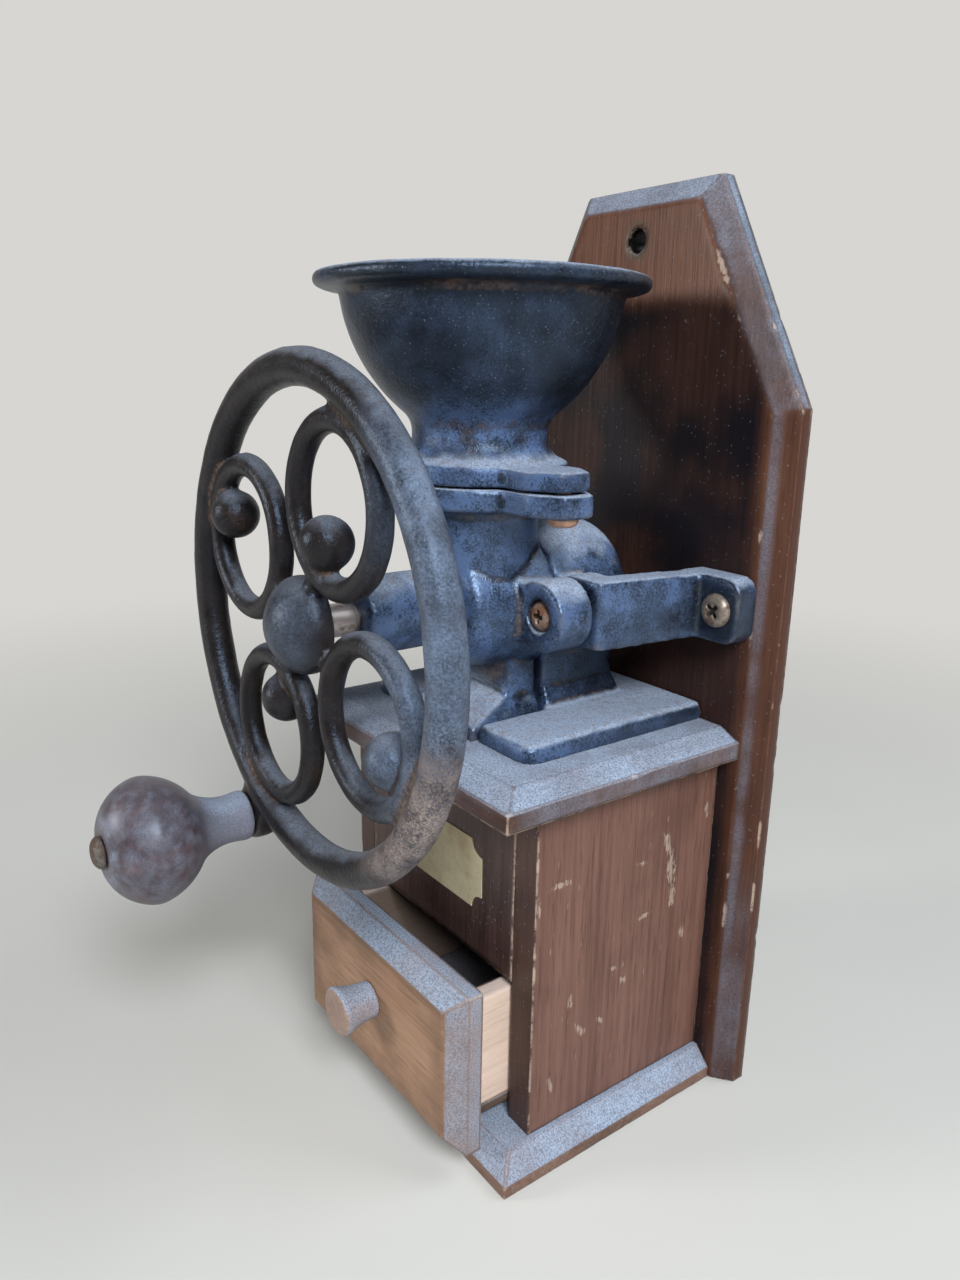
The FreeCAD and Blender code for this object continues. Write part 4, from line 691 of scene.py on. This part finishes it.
def darker_field_edges(p, colour):
    """The drawer's field is darker towards its edges."""
    half_width = (DRAWER_RIGHT - DRAWER_LEFT) / 2 - DRAWER_BEVEL
    half_height = (DRAWER_HIGH - DRAWER_LOW) / 2 - DRAWER_BEVEL
    middle = (DRAWER_HIGH + DRAWER_LOW) / 2 * MM
    across = p.times(p.calc("ABSOLUTE", p.axis(p.where, "x")), 1 / (half_width * MM))
    rise = p.calc("SUBTRACT", p.axis(p.where, "z"), middle)
    upward = p.times(p.calc("ABSOLUTE", rise), 1 / (half_height * MM))
    reach = p.plus(p.most(across, upward), p.swing(p.noise(75, 4, 0.6, shift=0.2), 0.9))
    return p.mix(p.times(p.step(reach, 0.62, 1.05), 0.42), colour, FIELD_EDGE_DARK)


def drawer_inner_shade(p, colour):
    """The drawer is brown with painted shade on the faces that look inward."""
    inward = p.times(p.axis(p.facing, "x"), p.axis(p.where, "x"), -1.0)
    return p.mix(p.times(p.limit(inward, *INNER_SHADE_SIDES), 0.75), colour, INNER_SHADE)


def board_ledge(p):
    """Dust on the upper chamfers of the board, along the inner edge of the side ones and at their foot."""
    upper = p.past("z", *SHOULDER_DUST)
    inside = p.short_of("y", BOARD_FRONT + 1.3, BOARD_FRONT + 2.7)
    foot = p.short_of("z", *BOARD_FOOT)
    lower = p.most(p.times(inside, 0.34), p.times(foot, 0.34))
    patches = p.step(p.noise(45, 3, shift=0.6), 0.25, 0.6)
    return p.times(board_slope(p), p.blend(upper, lower, 0.22), patches)


def drawer_ledge(p):
    """Dust on the bevels around the drawer's field."""
    return p.times(p.past("y", DRAWER_FACE + 0.3, DRAWER_FACE + 0.9), 0.66)


def knob_ledge(p):
    """Dust on the drawer's knob, most of it on the sides."""
    return p.blend(p.past("y", DRAWER_KNOB_FACE + 0.2, DRAWER_KNOB_FACE + 1.2), 0.25, 0.85)


def band_ledge(p):
    """A little dust on the upright band of a board."""
    return p.times(p.step(p.noise(50, 3, shift=0.9), 0.30, 0.65), 0.32)


def varnished_knob():
    """Dark varnished wood with a bluish haze, partly dust and partly painted sheen, dusty on top, at the neck and
    on the outer face.
    """
    p = Paint("knob_varnish")
    fibre = p.noise(520, 4, 0.6, stretched("y", 0.10), 0.2)
    figure = p.noise(95, 4, 0.55, stretched("y", 0.25), 0.6, 0.4)
    tone = p.plus(p.times(fibre, 0.45), p.times(figure, 0.55))
    dark, middle, light = KNOB_STAIN
    colour = p.ramp(tone, (0.32, dark), (0.52, middle), (0.72, light))
    neck = p.past("y", CRANK_KNOB_FACE + 18.4, CRANK_KNOB_FACE + 29.9)
    face = p.short_of("y", CRANK_KNOB_FACE + 0.4, CRANK_KNOB_FACE + 2.4)
    grains = p.noise(2300, 2, 0.6)
    drift = p.noise(140, 4, 0.6)
    lying = p.times(p.facing_up(drift, 0.7, 0.15, 1.0), p.plus(p.times(neck, 0.65), 0.16))
    # A bluish haze of dust colour over the body, partly dust and partly painted sheen
    haze_and_sheen = p.times(p.step(p.noise(300, 3, 0.5, shift=0.3), 0.10, 0.90), 0.38)
    on_face = p.times(face, p.step(drift, 0.4, 0.6), 0.5)
    settled = p.most(lying, p.times(neck, 0.42), on_face, haze_and_sheen)
    colour = p.mix(settled, colour, p.ramp(grains, (0.3, DUST_DARK), (0.7, DUST_LIGHT)))
    rough = p.blend(settled, p.blend(fibre, 0.26, 0.40), 0.75)
    p.set(Base_Color=colour, Roughness=rough, Specular_Tint=VARNISH_SHINE)
    p.bump((fibre, 0.05), (figure, 0.06), (p.times(grains, settled), 0.10))
    return p.material


def aged_paper():
    """Cream paper with brown stains."""
    p = Paint("label_paper")
    cloud = p.noise(90, 5, 0.6)
    fibre = p.noise(1600, 3, 0.6)
    dark, middle, light = PAPER
    colour = p.ramp(cloud, (0.30, dark), (0.55, middle), (0.75, light))
    stain = p.step(p.noise(170, 4, 0.65, shift=0.3), 0.56, 0.72)
    colour = p.mix(p.times(stain, 0.45), colour, PAPER_STAIN)
    p.set(Base_Color=colour, Roughness=0.8)
    p.bump((fibre, 0.03), (cloud, 0.25))
    return p.material


# Dark, middle and light tones of each wood and of the paper

DARK_STAIN = ((0.028, 0.014, 0.011), (0.085, 0.042, 0.032), (0.150, 0.078, 0.058))
BASE_STAIN = ((0.065, 0.034, 0.025), (0.165, 0.090, 0.064), (0.25, 0.150, 0.110))
# The front panel: the dark stain made darker still, its stain and painted shade both
FRONT_STAIN_AND_SHADE = ((0.020, 0.011, 0.010), (0.056, 0.031, 0.027), (0.100, 0.058, 0.048))
BOARD_STAIN = ((0.046, 0.017, 0.010), (0.122, 0.050, 0.029), (0.190, 0.085, 0.050))
PANEL_STAIN = ((0.060, 0.025, 0.018), (0.152, 0.073, 0.054), (0.228, 0.120, 0.090))
DRAWER_STAIN = ((0.150, 0.078, 0.044), (0.32, 0.185, 0.112), (0.42, 0.26, 0.17))
KNOB_STAIN = ((0.024, 0.012, 0.013), (0.060, 0.030, 0.030), (0.115, 0.062, 0.052))
RAW = ((0.52, 0.37, 0.28), (0.70, 0.53, 0.43), (0.78, 0.62, 0.52))
# The drawer bottom is painted dark, as painted shade inside the drawer
SHEET = ((0.06, 0.038, 0.027), (0.11, 0.073, 0.053), (0.16, 0.11, 0.082))
PAPER = ((0.34, 0.27, 0.16), (0.50, 0.43, 0.28), (0.60, 0.53, 0.37))

board_wood = wood("board_wood", *BOARD_STAIN, "z", gloss=0.34, dust=0.75, wear=0.8, scratch=0.35, seed=0.11,
                  stain=board_grime_and_shadow, ledge=board_ledge, shelter=in_hole, shine=0.15, speck=0.4)
right_wood = wood("panel_wood", *PANEL_STAIN, "z", gloss=0.44, scratch=0.8, seed=0.31, stain=panel_end,
                  speck=0.5)
left_wood = wood("left_wood", *PANEL_STAIN, "z", gloss=0.44, scratch=0.8, seed=0.59, stain=panel_end,
                 speck=0.5)
front_wood = wood("front_wood", *FRONT_STAIN_AND_SHADE, "z", gloss=0.36, scratch=0.3, seed=0.47, speck=0.45)
top_wood = wood("top_wood", *DARK_STAIN, "x", wear=1.3, seed=0.53, ledge=band_ledge, speck=0.6)
base_wood = wood("base_wood", *BASE_STAIN, "x", wear=1.3, seed=0.71, speck=0.5)
drawer_wood = wood("drawer_wood", *DRAWER_STAIN, "x", gloss=0.46, scratch=0.25, seed=0.83,
                   stain=darker_field_edges, ledge=drawer_ledge, cloudy=0.65)
raw_wood = wood("raw_wood", *RAW, "y", gloss=0.66, dust=0.25, wear=0.2, seed=0.97, stain=drawer_inner_shade)
sheet_wood = wood("sheet_wood", *SHEET, "x", gloss=0.66, dust=0.4, wear=0.4, seed=1.09)
drawer_knob_wood = wood("drawer_knob_wood", *DRAWER_STAIN, "y", gloss=0.38, wear=1.2, seed=1.21,
                        ledge=knob_ledge)

# Paint, painted sheen and rust of the iron, and the metals of the screws and shafts

# Each: the paint, the colour of its painted sheen, and its rust
BLACK_PAINT = ((0.004, 0.005, 0.007), (0.068, 0.110, 0.215), (0.135, 0.075, 0.045))
WHEEL_PAINT = ((0.008, 0.005, 0.003), (0.185, 0.250, 0.370), (0.068, 0.034, 0.017))

hopper_iron = iron("hopper_iron", *BLACK_PAINT, mill_sheen, rust=0.14, gloss=0.33, shine=0.5, seed=0.13)
mill_iron = iron("mill_iron", *BLACK_PAINT, mill_sheen, rust=0.14, dust=1.15, gloss=0.26, shine=1.0,
                 seed=0.13, grain=0.17)
wheel_iron = iron("wheel_iron", *WHEEL_PAINT, wheel_sheen, rust=0.38, dust=0.4, gloss=0.30, speck=0.6,
                  shine=0.28, seed=0.37, grain=0.34, patch=rim_crust)
rusty_screw = steel("rusty_screw", bright=(0.42, 0.30, 0.24), dull=(0.22, 0.14, 0.11),
                    brown=(0.20, 0.085, 0.045), rust=0.7, metal=0.6)
dull_screw = steel("dull_screw", bright=(0.36, 0.30, 0.25), dull=(0.20, 0.16, 0.135),
                   brown=(0.15, 0.09, 0.06), rust=0.6, metal=0.6, seed=0.4)
bolt_steel = steel("bolt_steel", bright=(0.20, 0.18, 0.17), dull=(0.09, 0.08, 0.075),
                   brown=(0.10, 0.06, 0.04), rust=0.9, metal=0.5, seed=0.9)
copper_screw = steel("copper_screw", bright=(0.66, 0.40, 0.29), dull=(0.45, 0.26, 0.18),
                     brown=(0.26, 0.14, 0.09), rust=0.3, metal=0.7, seed=0.8)
bare_steel = steel("bare_steel", bright=(0.66, 0.58, 0.55), dull=(0.46, 0.40, 0.38),
                   brown=(0.30, 0.19, 0.14), rust=0.3, metal=0.7, seed=1.2)
burr_steel = steel("burr_steel", bright=(0.34, 0.32, 0.30), dull=(0.18, 0.17, 0.16),
                   brown=(0.15, 0.08, 0.05), rust=0.5, metal=0.8, seed=1.6)

# Pieces

# Nicks on the right panel, most of them as in the photo: place (y, z), length, width and lean
PANEL_NICKS = (
    (-19.5, 83.5, 8.0, 2.0, 0.1),
    (11.4, 80.2, 5.0, 1.8, -0.1),
    (13.3, 63.1, 5.5, 1.8, 0.15),
    (21.2, 83.5, 8.0, 3.2, -1.3),
    (23.4, 74.6, 10.0, 4.2, -1.45),
    (24.7, 65.7, 8.0, 3.4, -1.5),
    (6.4, 44.9, 4.0, 2.0, -0.6),
    (2.4, 50.4, 3.2, 1.6, -0.2),
    (-9.5, 35.2, 6.0, 2.4, -1.0),
    (-26.5, 79.4, 6.0, 1.6, -1.5),
    (37.1, 90.1, 5.0, 2.2, -1.4),
    (-1.9, 35.2, 3.2, 1.6, -0.7),
    (-14.0, 46.0, 5.0, 2.0, -1.5),
    (30.0, 52.0, 6.0, 2.2, -1.5),
    (-20.0, 22.0, 6.0, 2.0, -1.4),
)

soft_piece("hopper", hopper_iron, voxel=0.75, rounds=3, swell=0.02, lump=0.12, seed=1)
soft_piece("front_housing", mill_iron, voxel=0.75, rounds=3, swell=0.05, lump=0.14, seed=2)
soft_piece("rear_housing", mill_iron, voxel=0.75, rounds=3, swell=0.05, lump=0.14, seed=3)
soft_piece("hand_wheel", wheel_iron, voxel=0.75, rounds=9, swell=0.16, lump=0.16, seed=4)
soft_piece("crank_knob", varnished_knob(), voxel=0.6, rounds=12, swell=0.08, lump=0.06, seed=5)
soft_piece("drawer_knob", drawer_knob_wood, voxel=0.4, rounds=5, swell=0.0, lump=0.05, seed=6)
soft_piece("bracket_screws", dull_screw, voxel=0.26, rounds=2, swell=0.0, lump=0.02, seed=7)
soft_piece("housing_screws", rusty_screw, voxel=0.26, rounds=2, swell=0.0, lump=0.04, seed=8)
soft_piece("hopper_screws", copper_screw, voxel=0.25, rounds=2, swell=0.0, lump=0.03, seed=9)
soft_piece("knob_bolt", bolt_steel, voxel=0.4, rounds=3, swell=0.0, lump=0.10, seed=10)
soft_piece("shaft_collar", bare_steel, voxel=0.35, rounds=2, swell=0.0, lump=0.05, seed=11)

board("back_board", board_wood, depth=8, chip=0.9, seed=11, hole=(HOLE_X, HOLE_HEIGHT, HOLE_RADIUS))
board("top_board", top_wood, depth=7, chip=0.9, seed=12)
board("base_board", base_wood, depth=7, chip=0.9, seed=13)
board("left_side_panel", left_wood, depth=7, chip=0.5, seed=14)
board("right_side_panel", right_wood, depth=7, chip=0.5, seed=15, marks=PANEL_NICKS)
board("front_panel", front_wood, depth=6, chip=0.4, seed=16)
board("drawer_front", drawer_wood, depth=7, chip=0.8, seed=17)
board("drawer_left_side", raw_wood, depth=6, chip=0.5, seed=18)
board("drawer_right_side", raw_wood, depth=6, chip=0.5, seed=19)
board("drawer_back", raw_wood, depth=6, chip=0.4, seed=20)
board("drawer_bottom", sheet_wood, depth=6, chip=0.6, seed=21)

CAD_FINISH = {
    "drawer_runners": raw_wood,
    "paper_label": aged_paper(),
    "board_screws": dull_screw,
    "drawer_knob_screw": dull_screw,
    "plate_screws": dull_screw,
    "crank_shaft": bare_steel,
    "cone_burr": burr_steel,
    "ring_burr": burr_steel,
    "burr_pin": burr_steel,
    "thrust_washer": burr_steel,
    "knob_nut": dull_screw,
}
for node, material in CAD_FINISH.items():
    slots = NODES[node].data.materials
    slots.clear()
    slots.append(material)

# Stage: a pale sweep, soft light and the photograph's viewpoint, in metres unless a name says otherwise

CAMERA_MM = (211.378, -171.483, 211.638)
YAW, PITCH, ROLL = (math.radians(angle) for angle in (-53.178, -15.477, 1.001))
FOCAL_PIXELS, TALL_PIXELS = 961.598, 1280
SENSOR_MM = 36.0
CLOSEST, FURTHEST = 0.01, 50
FLOOR_FRONT = -4.0
FLOOR_ENDS = (-5, 40)
BEND_START = 1.6
BEND_RADIUS = 1.0
BEND_STEPS = 24
WALL_HEIGHT = 4.0
FLOOR_DROP = 0.0002
LIT_POINT = Vector((0, 0, 0.13))
COOL_WHITE = (0.93, 0.97, 1.0)
WARM_WHITE = (1.0, 0.98, 0.95)
SKY_WHITE = (0.88, 0.95, 1.0)

forward = Vector((math.sin(YAW) * math.cos(PITCH), math.cos(YAW) * math.cos(PITCH), math.sin(PITCH)))
level = Vector((math.cos(YAW), -math.sin(YAW), 0))
upward = level.cross(forward)
right = level * math.cos(ROLL) + upward * math.sin(ROLL)
above = upward * math.cos(ROLL) - level * math.sin(ROLL)
camera_data = bpy.data.cameras.new("camera")
camera_data.sensor_width = SENSOR_MM
camera_data.lens = SENSOR_MM * FOCAL_PIXELS / TALL_PIXELS
camera_data.clip_start = CLOSEST
camera_data.clip_end = FURTHEST
camera = bpy.data.objects.new("camera", camera_data)
bpy.context.scene.collection.objects.link(camera)
turn = Matrix((right, above, -forward)).transposed().to_4x4()
camera.matrix_world = Matrix.Translation(Vector(CAMERA_MM) * MM) @ turn
bpy.context.scene.camera = camera
bpy.context.scene.view_settings.view_transform = "Standard"


def sweep():
    """A floor that curves up into a wall behind the object."""
    away = Vector((math.sin(YAW), math.cos(YAW), 0))
    profile = [(FLOOR_FRONT, 0.0), (BEND_START, 0.0)]
    for i in range(1, BEND_STEPS + 1):
        angle = math.pi / 2 * i / BEND_STEPS
        profile.append((BEND_START + BEND_RADIUS * math.sin(angle), BEND_RADIUS * (1 - math.cos(angle))))
    profile.append((BEND_START + BEND_RADIUS, WALL_HEIGHT))
    points = []
    for out, high in profile:
        for across in FLOOR_ENDS:
            points.append(away * out + level * across + Vector((0, 0, high - FLOOR_DROP)))
    faces = [(2 * i, 2 * i + 1, 2 * i + 3, 2 * i + 2) for i in range(len(profile) - 1)]
    mesh = bpy.data.meshes.new("floor")
    mesh.from_pydata(points, [], faces)
    mesh.shade_smooth()
    thing = bpy.data.objects.new("floor", mesh)
    bpy.context.scene.collection.objects.link(thing)
    return thing


def sweep_paint():
    """Pale and matt near the object; further off it stays as pale as it is near."""
    p = Paint("floor")
    p.set(Base_Color=p.ramp(p.noise(9, 2), (0.3, FLOOR_DARK), (0.7, FLOOR_LIGHT)), Roughness=0.7)
    path = p.add("ShaderNodeLightPath", {}).outputs
    seen = p.most(path["Is Camera Ray"], path["Is Glossy Ray"], path["Is Transmission Ray"])
    gap = p.add("ShaderNodeVectorMath", {0: p.where}, operation="LENGTH").outputs["Value"]
    far = p.times(p.limit(gap, *PALE_FLOOR), p.past("y", *FLOOR_BEHIND))
    glow = p.add("ShaderNodeEmission", {"Color": FLOOR_GLOW, "Strength": 1.0})
    both = p.add("ShaderNodeMixShader", {0: p.times(seen, far), 1: p.shader.outputs[0], 2: glow.outputs[0]})
    p.tree.links.new(both.outputs[0], p.output.inputs[0])
    return p.material


def lamp(name, round_from_front, height, distance, size, power, colour):
    """A round soft box: degrees from the front towards the right, degrees up, metres and watts."""
    light = bpy.data.lights.new(name, "AREA")
    light.shape = "DISK"
    light.size = size
    light.energy = power
    light.color = colour
    thing = bpy.data.objects.new(name, light)
    bpy.context.scene.collection.objects.link(thing)
    turned = math.radians(round_from_front)
    raised = math.radians(height)
    flat = math.cos(raised)
    way = Vector((math.sin(turned) * flat, -math.cos(turned) * flat, math.sin(raised)))
    thing.location = LIT_POINT + way * distance
    thing.rotation_euler = way.to_track_quat("Z", "Y").to_euler()


floor = sweep()
floor.data.materials.append(sweep_paint())

world = bpy.data.worlds.new("studio")
bpy.context.scene.world = world
world.use_nodes = True
ambient = world.node_tree.nodes["Background"]
ambient.inputs["Color"].default_value = (*COOL_WHITE, 1)
ambient.inputs["Strength"].default_value = 0.10

lamp("right", round_from_front=66, height=38, distance=1.3, size=0.60, power=22.0, colour=COOL_WHITE)
lamp("front", round_from_front=-30, height=13, distance=1.5, size=0.4, power=10.0, colour=WARM_WHITE)
lamp("behind", round_from_front=140, height=48, distance=1.4, size=0.8, power=7.0, colour=SKY_WHITE)
